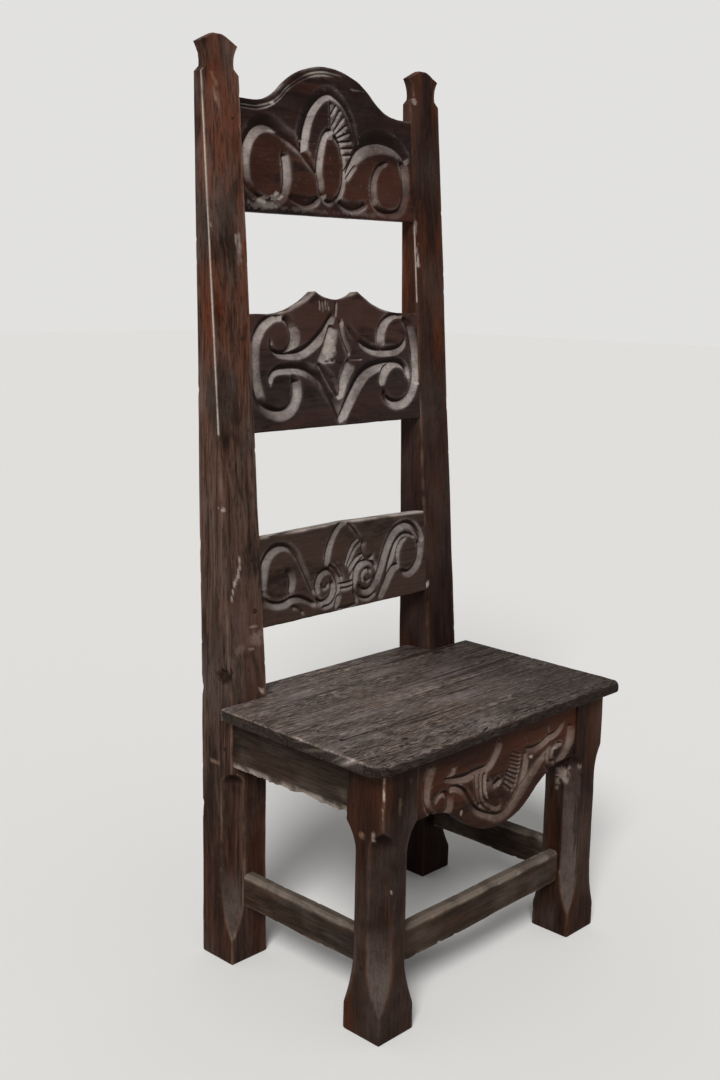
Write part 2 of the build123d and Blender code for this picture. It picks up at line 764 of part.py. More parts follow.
os.makedirs("parts", exist_ok=True)
front_leg(-1, "front_leg_left")
front_leg(1, "front_leg_right")
rear_post(-1, "rear_post_left")
rear_post(1, "rear_post_right")
back_rail(crest, crest_outline, crest_carving, "crest_rail")
back_rail(middle, middle_outline, middle_carving, "middle_rail")
back_rail(lower, lower_outline, lower_carving, "lower_rail")
front_apron()
rear_seat_rail()
side_seat_rail(-1, "seat_rail_left")
side_seat_rail(1, "seat_rail_right")
side_stretcher(-1, "stretcher_left")
side_stretcher(1, "stretcher_right")
front_stretcher()
seat_board("seat_front_board", seat_front_y, seat_joint_y - seat_joint_gap, False)
seat_board("seat_rear_board", seat_joint_y, seat_back_edge_y, True)
peg_set("crest_rail_pegs", lambda clearance, mode: back_pegs(crest, clearance, mode))
peg_set("middle_rail_pegs", lambda clearance, mode: back_pegs(middle, clearance, mode))
peg_set("lower_rail_pegs", lambda clearance, mode: back_pegs(lower, clearance, mode))
peg_set("apron_pegs", apron_pegs)
peg_set("rear_seat_rail_pegs", rear_rail_pegs)
peg_set("side_seat_rail_pegs", side_rail_pegs)
peg_set("side_stretcher_pegs", side_stretcher_pegs)
peg_set("front_stretcher_pegs", front_stretcher_pegs)
peg_set("seat_pegs", seat_pegs)
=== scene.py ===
import logging
import math
from dataclasses import dataclass, replace
from enum import Enum

import bpy
import numpy as np
from mathutils import Matrix, Vector


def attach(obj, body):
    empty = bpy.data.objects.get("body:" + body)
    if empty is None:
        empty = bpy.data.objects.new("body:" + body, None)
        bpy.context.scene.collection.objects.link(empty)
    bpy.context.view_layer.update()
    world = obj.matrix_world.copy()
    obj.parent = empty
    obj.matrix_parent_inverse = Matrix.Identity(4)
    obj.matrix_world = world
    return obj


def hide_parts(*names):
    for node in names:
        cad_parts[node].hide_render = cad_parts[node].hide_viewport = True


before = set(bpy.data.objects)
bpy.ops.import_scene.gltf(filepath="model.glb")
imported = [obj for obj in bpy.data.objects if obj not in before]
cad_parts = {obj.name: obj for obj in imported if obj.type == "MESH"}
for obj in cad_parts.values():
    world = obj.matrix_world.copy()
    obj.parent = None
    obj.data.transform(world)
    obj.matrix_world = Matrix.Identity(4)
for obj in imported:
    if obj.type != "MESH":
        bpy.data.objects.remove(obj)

Array = np.ndarray
Socket = bpy.types.NodeSocket
Point = tuple[float, float]
Place = tuple[float, float, float]
Colour = tuple[float, float, float]
Line = tuple[Point, ...]
Widths = float | tuple[float, ...]
Fields = dict[str, Array]

LOG = logging.getLogger("wainscot_chair")
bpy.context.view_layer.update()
MM = 0.001
SMOOTH_ANGLE = math.radians(40)

# sizes of the whole chair, in millimetres
CHAIR_HEIGHT = 1380.0
SEAT_HEIGHT = 420.0
SEAT_UNDERSIDE = 402.0
HALF_WIDTH = 258.0
LEG_SIDE = 70.0
LEG_FRONT = -190.0
POST_FRONT = 120.0
POST_LEAN = 75.0
POST_DRAW_IN = 5.0
POST_LEDGE = 1326.0
NOTCH_CLEARANCE = 0.6
RAIL_RECESS = 3.0
BACK_RAIL_RECESS = 1.5
CROSS_REACH = 191.0  # rails and stretchers run a little way into the legs and posts
SIDE_REACH = 123.0


class Grain(Enum):
    """The way the wood's fibres run in a piece."""

    ACROSS = 0
    DEEP = 1
    UPRIGHT = 2


# ---------------------------------------------------------------- shares and unevenness
def unit(values: Array) -> Array:
    """Holds values between 0 and 1."""
    return np.clip(values, 0, 1)


def rising(values: Array, start: Array | float, run: float) -> Array:
    """From 0 at the start to 1 a run further on."""
    return np.clip((values - start) / run, 0, 1)


def falling(values: Array, end: Array | float, run: float) -> Array:
    """From 1 a run before the end to 0 at the end."""
    return np.clip((end - values) / run, 0, 1)


def bell(gap: Array, width: float) -> Array:
    """One where there is no gap, falling away smoothly on both sides."""
    return np.exp(-((gap / width) ** 2))


def lattice_noise(points: Array) -> Array:
    """Seeds a value at each corner of a unit lattice and eases between them.

    Args:
        points: places, [n, 3].

    Returns:
        One value from -1 to 1 for each place.
    """
    cell = np.floor(points).astype(np.int64)
    part = points - cell
    part = part * part * (3 - 2 * part)
    total = np.zeros(len(points))
    for corner in range(8):
        bits = np.array([corner >> 2 & 1, corner >> 1 & 1, corner & 1])
        spot = cell + bits
        code = spot[:, 0] * 73856093 ^ spot[:, 1] * 19349663 ^ spot[:, 2] * 83492791
        code = (code ^ (code >> 13)) * 1274126177
        code = (code ^ (code >> 16)) & 0xFFFFFF
        weight = np.prod(np.where(bits == 1, part, 1 - part), axis=1)
        total += weight * (code / 0x7FFFFF - 1.0)
    return total


def rough(points: Array, scale: Place, seed: float, octaves: int = 3) -> Array:
    """Smooth seeded unevenness at each point, about -1 to 1.

    Args:
        points: places in millimetres, [..., 3].
        scale: the size of a swell along x, y and z, in millimetres.
        seed: picks a different unevenness.
        octaves: how many finer layers there are.

    Returns:
        One value for each point.
    """
    flat = points.reshape(-1, 3) / np.array(scale) + seed * 17.31
    values = np.zeros(len(flat))
    size = 1.0
    for layer in range(octaves):
        values += size * lattice_noise(flat * 2.0**layer + 5.7 * layer)
        size *= 0.5
    return values.reshape(points.shape[:-1])


def soften(values: Array, passes: int, axis: int, closed: bool) -> Array:
    """Averages neighbours along one axis a number of times.

    Args:
        values: any array.
        passes: how many times.
        axis: the axis along which the neighbours lie.
        closed: whether the ends are neighbours too.

    Returns:
        The softened array.
    """
    for _ in range(passes):
        before = np.roll(values, 1, axis)
        after = np.roll(values, -1, axis)
        if not closed:
            first = [slice(None)] * values.ndim
            last = [slice(None)] * values.ndim
            first[axis] = 0
            last[axis] = -1
            before[tuple(first)] = values[tuple(first)]
            after[tuple(last)] = values[tuple(last)]
        values = (before + 2 * values + after) / 4
    return values


def soften_both(values: Array, passes: int) -> Array:
    """Averages neighbours along a sheet and then across it."""
    return soften(soften(values, passes, 0, False), passes, 1, False)


# ---------------------------------------------------------------- lines and sections
def steps(length: float, step: float) -> int:
    """How many equal steps a length is cut into, at least one."""
    return max(1, round(length / step))


def section_round(knots: Line, counts: list[int]) -> Array:
    """Places round a straight-sided section.

    Args:
        knots: its corners, in order.
        counts: how many equal steps each side is cut into.

    Returns:
        The places, [n, 2].
    """
    places = []
    for index, count in enumerate(counts):
        start, end = np.array(knots[index]), np.array(knots[(index + 1) % len(knots)])
        places += [start + (end - start) * step / count for step in range(count)]
    return np.array(places)


def through(points: Line, step: float = 1.0) -> Array:
    """A smooth line through the points, as places about one step apart.

    Args:
        points: the places it goes through.
        step: the distance between the places that come back, in millimetres.

    Returns:
        The places, [n, 2].
    """
    knots = np.array(points, float)
    if len(knots) == 2:
        count = max(2, int(np.hypot(*(knots[1] - knots[0])) / step) + 1)
        return knots[0] + np.linspace(0, 1, count)[:, None] * (knots[1] - knots[0])
    ends = np.vstack([2 * knots[0] - knots[1], knots, 2 * knots[-1] - knots[-2]])
    parts = []
    for i in range(1, len(ends) - 2):
        a, b, c, d = ends[i - 1:i + 3]
        count = max(2, int(np.hypot(*(c - b)) / step))
        t = np.linspace(0, 1, count, endpoint=False)[:, None]
        parts.append(0.5 * (2 * b + (c - a) * t + (2 * a - 5 * b + 4 * c - d) * t**2
                            + (3 * b - a - 3 * c + d) * t**3))
    return np.vstack([*parts, ends[-2:-1]])


# ---------------------------------------------------------------- pieces in the scene
def deselect() -> None:
    """Leaves object mode with nothing selected."""
    if bpy.context.object is not None and bpy.context.object.mode != "OBJECT":
        bpy.ops.object.mode_set(mode="OBJECT")
    bpy.ops.object.select_all(action="DESELECT")


def make_active(piece: bpy.types.Object) -> None:
    """Selects one object alone and makes it the active one.

    Args:
        piece: the object.
    """
    deselect()
    piece.select_set(True)
    bpy.context.view_layer.objects.active = piece


def paint(piece: bpy.types.Object, label: str, values: Array) -> None:
    """Puts one value for each point on a piece, for its finish to read."""
    layer = piece.data.attributes.new(label, "FLOAT", "POINT")
    layer.data.foreach_set("value", values.astype(np.float32).ravel())


def wrap_grid(name: str, skin: Array, fields: Fields) -> bpy.types.Object:
    """Bends a flat grid into a closed skin round a long piece and caps both its ends.

    Args:
        name: the finished piece's name.
        skin: places in millimetres, [station, place round the section, xyz].
        fields: values from 0 to 1 for the finish, each [station, place round the section].

    Returns:
        The closed piece, with its fields as point attributes.
    """
    stations, places = skin.shape[:2]
    deselect()
    bpy.ops.mesh.primitive_grid_add(x_subdivisions=places, y_subdivisions=stations - 1, size=1)
    piece = bpy.context.object
    piece.name = name
    piece.data.name = name
    closed = np.concatenate([skin, skin[:, :1]], axis=1)
    piece.data.vertices.foreach_set("co", (closed.reshape(-1, 3) * MM).astype(np.float32).ravel())
    for label, values in fields.items():
        paint(piece, label, np.concatenate([values, values[:, :1]], axis=1))
    piece.data.update()
    bpy.ops.object.mode_set(mode="EDIT")
    bpy.ops.mesh.select_all(action="SELECT")
    bpy.ops.mesh.remove_doubles(threshold=1e-6)
    bpy.ops.mesh.select_all(action="DESELECT")
    bpy.ops.mesh.select_mode(type="EDGE")
    bpy.ops.mesh.select_non_manifold(extend=False, use_wire=False, use_multi_face=False,
                                     use_non_contiguous=False, use_verts=False)
    bpy.ops.mesh.fill_holes(sides=0)
    bpy.ops.mesh.select_mode(type="VERT")
    bpy.ops.mesh.select_all(action="SELECT")
    bpy.ops.mesh.normals_make_consistent(inside=False)
    bpy.ops.object.mode_set(mode="OBJECT")
    bpy.ops.object.shade_smooth_by_angle(angle=SMOOTH_ANGLE)
    return piece


# ---------------------------------------------------------------- finishes
class Wires:
    """The nodes of one material, laid one after another."""

    def __init__(self, name: str) -> None:
        """Starts a material with its surface shader.

        Args:
            name: the material's name.
        """
        self.material = bpy.data.materials.new(name)
        self.material.use_nodes = True
        self.tree = self.material.node_tree
        self.shader = self.tree.nodes["Principled BSDF"]

    def node(self, kind: str, **settings: object) -> bpy.types.Node:
        """Adds one node.

        Args:
            kind: the node's type.
            settings: its properties, by name.

        Returns:
            The node.
        """
        made = self.tree.nodes.new(kind)
        for key, value in settings.items():
            setattr(made, key, value)
        return made

    def feed(self, value: Socket | float | tuple[float, ...], target: Socket) -> None:
        """Connects a socket to another, or sets a number or a vector on it.

        Args:
            value: the other socket, or what is set.
            target: the socket that takes it.
        """
        if isinstance(value, Socket):
            self.tree.links.new(value, target)
        else:
            target.default_value = value

    def place(self, scale: Place, shift: Place) -> Socket:
        """Object coordinates.

        Args:
            scale: how far they are stretched along x, y and z.
            shift: how far they are moved.

        Returns:
            The coordinates.
        """
        source = self.node("ShaderNodeTexCoord")
        mapping = self.node("ShaderNodeMapping")
        mapping.inputs["Scale"].default_value = scale
        mapping.inputs["Location"].default_value = shift
        self.feed(source.outputs["Object"], mapping.inputs["Vector"])
        return mapping.outputs["Vector"]

    def cloud(self, where: Socket, scale: float, detail: float, roughness: float = 0.5,
              bend: float = 0.0, colour: bool = False) -> Socket:
        """A noise.

        Args:
            where: the coordinates that it reads.
            scale: how small its clouds are.
            detail: how many finer layers it has.
            roughness: how strong the finer layers are.
            bend: how far it is drawn out of shape.
            colour: whether three noises come back in place of one.

        Returns:
            The noise, from 0 to 1.
        """
        made = self.node("ShaderNodeTexNoise")
        for label, value in (("Scale", scale), ("Detail", detail), ("Roughness", roughness),
                             ("Distortion", bend)):
            made.inputs[label].default_value = value
        self.feed(where, made.inputs["Vector"])
        return made.outputs["Color" if colour else "Fac"]

    def wander(self, where: Socket, scale: float, reach: Place) -> Socket:
        """Shifts places to and fro by a broad noise, so that lines drawn on them wander.

        Args:
            where: the coordinates.
            scale: how small the noise's clouds are.
            reach: how far it shifts them along x, y and z.

        Returns:
            The shifted coordinates.
        """
        noise = self.cloud(where, scale, 2.0, colour=True)
        centred = self.node("ShaderNodeVectorMath", operation="SUBTRACT")
        self.feed(noise, centred.inputs[0])
        self.feed((0.5, 0.5, 0.5), centred.inputs[1])
        shifted = self.node("ShaderNodeVectorMath", operation="MULTIPLY_ADD")
        for index, value in enumerate((centred.outputs["Vector"], reach, where)):
            self.feed(value, shifted.inputs[index])
        return shifted.outputs["Vector"]

    def painted(self, label: str) -> Socket:
        """A value painted on the piece."""
        return self.node("ShaderNodeAttribute", attribute_name=label).outputs["Fac"]

    def spread(self, value: Socket, low: float, high: float, to_low: float = 0.0,
               to_high: float = 1.0) -> Socket:
        """Maps a range of a value onto another, clamped and eased.

        Args:
            value: the value.
            low: the start of its range.
            high: the end of its range.
            to_low: what the start becomes.
            to_high: what the end becomes.

        Returns:
            The mapped value.
        """
        made = self.node("ShaderNodeMapRange", interpolation_type="SMOOTHSTEP")
        for label, number in (("From Min", low), ("From Max", high), ("To Min", to_low),
                              ("To Max", to_high)):
            made.inputs[label].default_value = number
        self.feed(value, made.inputs["Value"])
        return made.outputs["Result"]

    def reckon(self, kind: str, *values: Socket | float, clamp: bool = True) -> Socket:
        """One arithmetic step.

        Args:
            kind: ADD, MULTIPLY, MAXIMUM and so on.
            values: what it works on.
            clamp: whether the result is held between 0 and 1.

        Returns:
            The result.
        """
        made = self.node("ShaderNodeMath", operation=kind, use_clamp=clamp)
        for index, value in enumerate(values):
            self.feed(value, made.inputs[index])
        return made.outputs[0]

    def times(self, first: Socket, second: Socket | float) -> Socket:
        """The product of two values, held between 0 and 1."""
        return self.reckon("MULTIPLY", first, second)

    def blend(self, share: Socket, under: Socket | Colour, over: Socket | Colour) -> Socket:
        """Lays one colour over another.

        Args:
            share: how much of the upper colour shows.
            under: the lower colour.
            over: the upper colour.

        Returns:
            The mixed colour.
        """
        made = self.node("ShaderNodeMix", data_type="RGBA")
        share_socket, under_socket, over_socket = made.inputs[0], made.inputs[6], made.inputs[7]
        self.feed(share, share_socket)
        for value, socket in ((under, under_socket), (over, over_socket)):
            self.feed(value if isinstance(value, Socket) else (*value, 1.0), socket)
        return made.outputs[2]


CHALK = (0.42, 0.36, 0.32)


@dataclass(frozen=True)
class AgedOak:
    """Very old oak: dark polish in the hollows and painted shade, redder where hands have rubbed, grey dust
    on top, and a painted highlight in the dusty colour.

    Colours are linear red, green and blue. A share says how much of a thing there is, from 0 to 1.
    The figure is how far the fibres wander, and the fineness how thin they are.
    """

    slot: str
    deep: Colour
    body: Colour
    rubbed: Colour
    worn: Colour
    dusty_and_lit: Colour
    rub_share: float = 0.5
    soot_share: float = 0.7
    dust_share: float = 0.35
    fibre_share: float = 0.22
    streak_share: float = 1.0
    pore_share: float = 0.35
    grain_depth: float = 0.5
    crack_share: float = 0.5
    gloss: float = 0.52
    shine: float = 0.03
    figure: float = 0.012
    fineness: float = 1.0

    def drawn_out(self, grain: Grain, along: float, across: float = 1.0) -> Place:
        """One value along the fibres and another across them, as a value for each axis."""
        return tuple(along if axis == grain.value else across for axis in range(3))

    def patterns(self, wires: Wires, grain: Grain, seed: float) -> dict[str, Socket]:
        """The noises that the finish is made of.

        Args:
            wires: the material's nodes.
            grain: the way the fibres run.
            seed: moves the noises.

        Returns:
            The noises, by name.
        """
        shift = (seed * 3.1, seed * 1.7, seed * 2.3)
        sway = self.drawn_out(grain, 0.0, self.figure)
        fibres = wires.wander(wires.place(self.drawn_out(grain, 0.045 * self.fineness), shift), 34, sway)
        pores = wires.wander(wires.place(self.drawn_out(grain, 0.10), shift), 22, sway)
        broad = wires.place(self.drawn_out(grain, 0.22), shift)
        plain = wires.place((1, 1, 1), shift)
        return {"fibre": wires.cloud(fibres, 420 * self.fineness, 6, 0.62),
                "strand": wires.cloud(fibres, 120 * self.fineness, 5, 0.66, 0.9),
                "crack": wires.cloud(fibres, 62, 3, 0.5, 0.6),
                "pores": wires.cloud(pores, 330 * self.fineness, 4, 0.6, 0.5),
                "patch": wires.cloud(broad, 7.5, 5, 0.6, 0.4),
                "blotch": wires.cloud(plain, 26, 5, 0.62),
                "soot": wires.cloud(broad, 19, 6, 0.66, 0.8),
                "speck": wires.cloud(plain, 240, 4, 0.65)}

    def wood(self, wires: Wires, noise: dict[str, Socket]) -> Socket:
        """The bare wood's colour, with its rubbed and sooty parts and its worn edges.

        Args:
            wires: the material's nodes.
            noise: the noises, by name.

        Returns:
            The colour.
        """
        strand, blotch = noise["strand"], noise["blotch"]
        streaks = wires.spread(strand, 0.3, 0.68, 1 - self.streak_share, 1.0)
        tone = wires.blend(streaks, self.deep, self.body)
        hands = wires.times(wires.spread(noise["patch"], 0.42, 0.62), self.rub_share)
        warmth = wires.times(wires.painted("warm"), wires.spread(strand, 0.2, 0.55))
        tone = wires.blend(wires.reckon("MAXIMUM", hands, warmth), tone, self.rubbed)
        soot = wires.times(wires.spread(noise["soot"], 0.5, 0.62), self.soot_share)
        tone = wires.blend(soot, tone, self.deep)
        fibres = wires.spread(noise["fibre"], 0.42, 0.72, 0.0, self.fibre_share)
        tone = wires.blend(fibres, tone, self.worn)
        edges = wires.times(wires.painted("wear"), wires.spread(blotch, 0.3, 0.62))
        return wires.blend(edges, tone, self.worn)

    def grime(self, wires: Wires, noise: dict[str, Socket], tone: Socket, split: Socket) -> Socket:
        """Dust and painted highlight, open pores, dark hollows and painted shade, cracks and chalky marks
        over the wood.

        Args:
            wires: the material's nodes.
            noise: the noises, by name.
            tone: the wood's colour.
            split: where the wood is cracked.

        Returns:
            The colour with all of it on.
        """
        blotch, speck, dust = noise["blotch"], noise["speck"], wires.painted("dust")
        # Pale dust, and a painted highlight where a piece paints one, both in the dusty colour.
        lying = wires.times(wires.spread(speck, 0.3, 0.6, 0.72, 1.0), dust)
        lying = wires.times(wires.spread(blotch, 0.3, 0.6, 0.5, 1.0), lying)
        even = wires.times(wires.spread(blotch, 0.4, 0.7), self.dust_share)
        tone = wires.blend(wires.reckon("MAXIMUM", lying, even), tone, self.dusty_and_lit)
        open_grain = wires.times(wires.spread(noise["pores"], 0.50, 0.36),
                                 wires.spread(noise["patch"], 0.66, 0.40, 0.25, 1.0))
        clear = wires.spread(dust, 0.3, 0.9, 1.0, 0.7)
        pores = wires.times(wires.times(open_grain, self.pore_share), clear)
        tone = wires.blend(pores, tone, self.deep)
        # Darkens towards the deep colour in the hollows and where painted shade is marked.
        tone = wires.blend(wires.times(wires.painted("hollow_and_shade"), 0.9), tone, self.deep)
        tone = wires.blend(split, tone, tuple(0.35 * c for c in self.deep))
        chalk = wires.times(wires.painted("chalk"), wires.spread(speck, 0.25, 0.6, 0.6, 1.0))
        return wires.blend(chalk, tone, CHALK)

    def dress(self, piece: bpy.types.Object, grain: Grain, seed: float) -> None:
        """Gives a piece this finish, with its fibres along the grain.

        Args:
            piece: the finished piece, which has its fields painted on it.
            grain: the way its fibres run.
            seed: moves the pattern, so that no two pieces match.
        """
        wires = Wires(f"{self.slot}_{piece.name}")
        noise = self.patterns(wires, grain, seed)
        split = wires.times(wires.spread(noise["crack"], 0.335, 0.30), self.crack_share)
        tone = self.grime(wires, noise, self.wood(wires, noise), split)
        wires.feed(tone, wires.shader.inputs["Base Color"])
        polish = wires.spread(noise["blotch"], 0.3, 0.75, self.gloss - 0.08, self.gloss + 0.16)
        dulled = wires.reckon("MULTIPLY_ADD", wires.painted("dust"), 0.3, polish)
        wires.feed(dulled, wires.shader.inputs["Roughness"])
        wires.shader.inputs["Specular IOR Level"].default_value = self.shine
        raised = wires.reckon("MULTIPLY_ADD", noise["strand"], 1.4, noise["fibre"], clamp=False)
        bump = wires.node("ShaderNodeBump")
        bump.inputs["Strength"].default_value = self.grain_depth
        bump.inputs["Distance"].default_value = 1.2 * MM
        wires.feed(wires.reckon("SUBTRACT", raised, split, clamp=False), bump.inputs["Height"])
        wires.feed(bump.outputs["Normal"], wires.shader.inputs["Normal"])
        piece.data.materials.clear()
        piece.data.materials.append(wires.material)

    def fit(self, piece: bpy.types.Object, node: str, grain: Grain, seed: float) -> bpy.types.Object:
        """Dresses a piece and puts it in its solid's place.

        Args:
            piece: the finished piece.
            node: the solid's name.
            grain: the way its fibres run.
            seed: moves the finish's pattern.

        Returns:
            The piece.
        """
        self.dress(piece, grain, seed)
        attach(piece, "root")
        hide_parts(node)
        return piece


POST_OAK = AgedOak(
    "frame_oak", deep=(0.009, 0.0038, 0.0026), body=(0.094, 0.056, 0.041),
    rubbed=(0.106, 0.0245, 0.0085), worn=(0.24, 0.15, 0.105), dusty_and_lit=(0.13, 0.098, 0.083),
    soot_share=0.8, dust_share=0.12, fibre_share=0.08, pore_share=0.55)
SHADED_POST_OAK = AgedOak(
    "frame_oak", deep=(0.007, 0.0032, 0.0026), body=(0.026, 0.0110, 0.0080),
    rubbed=(0.068, 0.020, 0.008), worn=(0.17, 0.10, 0.07), dusty_and_lit=(0.07, 0.050, 0.042),
    rub_share=0.7, dust_share=0.03, fibre_share=0.05, pore_share=0.4)
# Darker than the posts' finish: painted shade low down near the floor, with a redder tone.
SHADED_LEG_OAK = AgedOak(
    "frame_oak", deep=(0.006, 0.0025, 0.0018), body=(0.025, 0.0098, 0.0056),
    rubbed=(0.060, 0.0195, 0.008), worn=(0.17, 0.10, 0.065), dusty_and_lit=(0.085, 0.064, 0.056),
    rub_share=0.6, dust_share=0.04, fibre_share=0.08, pore_share=0.4)
# On the carved boards the dusty colour is pale dust and also the painted highlight on flanks facing up and
# to the left, here and in the copies below.
CARVED_OAK = AgedOak(
    "carved_oak", deep=(0.0050, 0.0027, 0.0025), body=(0.0145, 0.0074, 0.0064),
    rubbed=(0.054, 0.0175, 0.0100), worn=(0.25, 0.20, 0.18), dusty_and_lit=(0.325, 0.278, 0.256),
    rub_share=0.75, soot_share=0.75, dust_share=0.02, fibre_share=0.02, streak_share=0.45,
    pore_share=0.25, grain_depth=0.25, crack_share=0.3)
MIDDLE_OAK = replace(CARVED_OAK, body=(0.0250, 0.0160, 0.0140), rubbed=(0.054, 0.024, 0.0175),
                     rub_share=0.65, soot_share=0.65)
LOWER_OAK = replace(CARVED_OAK, deep=(0.0095, 0.0058, 0.0048), body=(0.040, 0.0260, 0.0205),
                    rubbed=(0.060, 0.031, 0.021), dusty_and_lit=(0.205, 0.175, 0.160), rub_share=0.4)
APRON_OAK = replace(CARVED_OAK, body=(0.029, 0.0115, 0.0068), rubbed=(0.060, 0.0185, 0.0092),
                    worn=(0.20, 0.14, 0.11), dusty_and_lit=(0.160, 0.115, 0.094))
RAIL_OAK = AgedOak(
    "rail_oak", deep=(0.007, 0.0042, 0.0031), body=(0.030, 0.0185, 0.0125),
    rubbed=(0.050, 0.024, 0.014), worn=(0.24, 0.19, 0.15), dusty_and_lit=(0.150, 0.120, 0.098),
    rub_share=0.4, dust_share=0.05, fibre_share=0.06, streak_share=0.7, pore_share=0.55,
    grain_depth=0.7)
SEAT_OAK = AgedOak(
    "seat_oak", deep=(0.0100, 0.0056, 0.0040), body=(0.086, 0.060, 0.052),
    rubbed=(0.098, 0.061, 0.048), worn=(0.50, 0.40, 0.325), dusty_and_lit=(0.262, 0.218, 0.206),
    rub_share=0.45, soot_share=0.75, dust_share=0.20, fibre_share=0.7, pore_share=1.0,
    grain_depth=1.0, crack_share=0.6, gloss=0.55, figure=0.075, fineness=1.6)
PEG_OAK = AgedOak(
    "peg_oak", deep=(0.006, 0.003, 0.0023), body=(0.020, 0.0090, 0.0058),
    rubbed=(0.045, 0.018, 0.010), worn=(0.12, 0.075, 0.052), dusty_and_lit=(0.07, 0.052, 0.043),
    dust_share=0.05)


@dataclass(frozen=True)
class Blemish:
    """A hole, chip, scratch or scuff on a piece, with a ragged edge. Sizes are in millimetres.

    It lies round one place, or along the line between two.
    """

    start: Place
    reach: Place
    end: Place | None = None
    depth: float = 0.0
    worn: float = 0.0
    chalky: float = 0.0
    dark: float = 0.0

    def mark(self, skin: Array, outward: Array, fields: Fields) -> None:
        """Sinks the spot into the skin and paints it.

        Args:
            skin: places in millimetres, which it moves.
            outward: the way out of the piece at each place.
            fields: the painted values, which it changes.
        """
        reach = np.array(self.reach)
        spots = (skin - np.array(self.start)) / reach
        if self.end is not None:
            line = (np.array(self.end) - np.array(self.start)) / reach
            along = unit((spots @ line) / (line @ line))
            spots = spots - along[..., None] * line
        away = np.linalg.norm(spots, axis=-1)
        ragged = rough(skin, (5, 5, 9), self.start[2] * 0.1)
        share = unit((1.1 - away + 0.55 * ragged) * 2.2)
        skin -= outward * (share * self.depth)[..., None]
        fields["wear"] = np.maximum(fields["wear"], share * self.worn)
        fields["chalk"] = np.maximum(fields["chalk"], share * self.chalky)
        fields["hollow_and_shade"] = np.maximum(fields["hollow_and_shade"] * (1 - share), share * self.dark)


# ---------------------------------------------------------------- posts and legs
@dataclass(frozen=True)
class StopChamfer:
    """One chamfer that runs out in a curved stop at each end. Sizes are in millimetres."""

    width: float
    low_tip: float = 40.0
    low_run: float = 80.0
    high_tip: float = 316.0
    high_run: float = 48.0

    def at(self, heights: Array) -> Array:
        """How wide the chamfer is along each face.

        Args:
            heights: heights above the floor.

        Returns:
            The width at each height, none past the stops.
        """
        deep = self.width / math.sqrt(2)
        cut = np.full_like(heights, deep)
        for tip, run, way in ((self.low_tip, self.low_run, -1), (self.high_tip, self.high_run, 1)):
            radius = (deep**2 + run**2) / (2 * deep)
            along = np.clip(run - way * (tip - heights), 0, run)
            rise = radius - np.sqrt(radius**2 - along**2)
            cut = np.minimum(cut, deep - rise)
            cut = np.where(way * (heights - tip) > 0, 0, cut)
        return cut * math.sqrt(2)


FOOT_STATIONS = np.array([0.0, 0.6, 1.6, 3.0])
CORNER_OFFSETS = np.array([0, 1.2, 2.6, 4.5, 7, 10, 13, 16.5, 20, 22.5, 25, 28, 31.5])


@dataclass
class Shaft:
    """An upright on its way from square to worn.

    Its corners are [corner, station, xy] and its skin [station, place round the section, xyz].
    """

    heights: Array
    corners: Array
    skin: Array

    @property
    def middle(self) -> Array:
        """The middle of each section, [station, 1, xy]."""
        return ((self.corners[0] + self.corners[2]) / 2)[:, None]


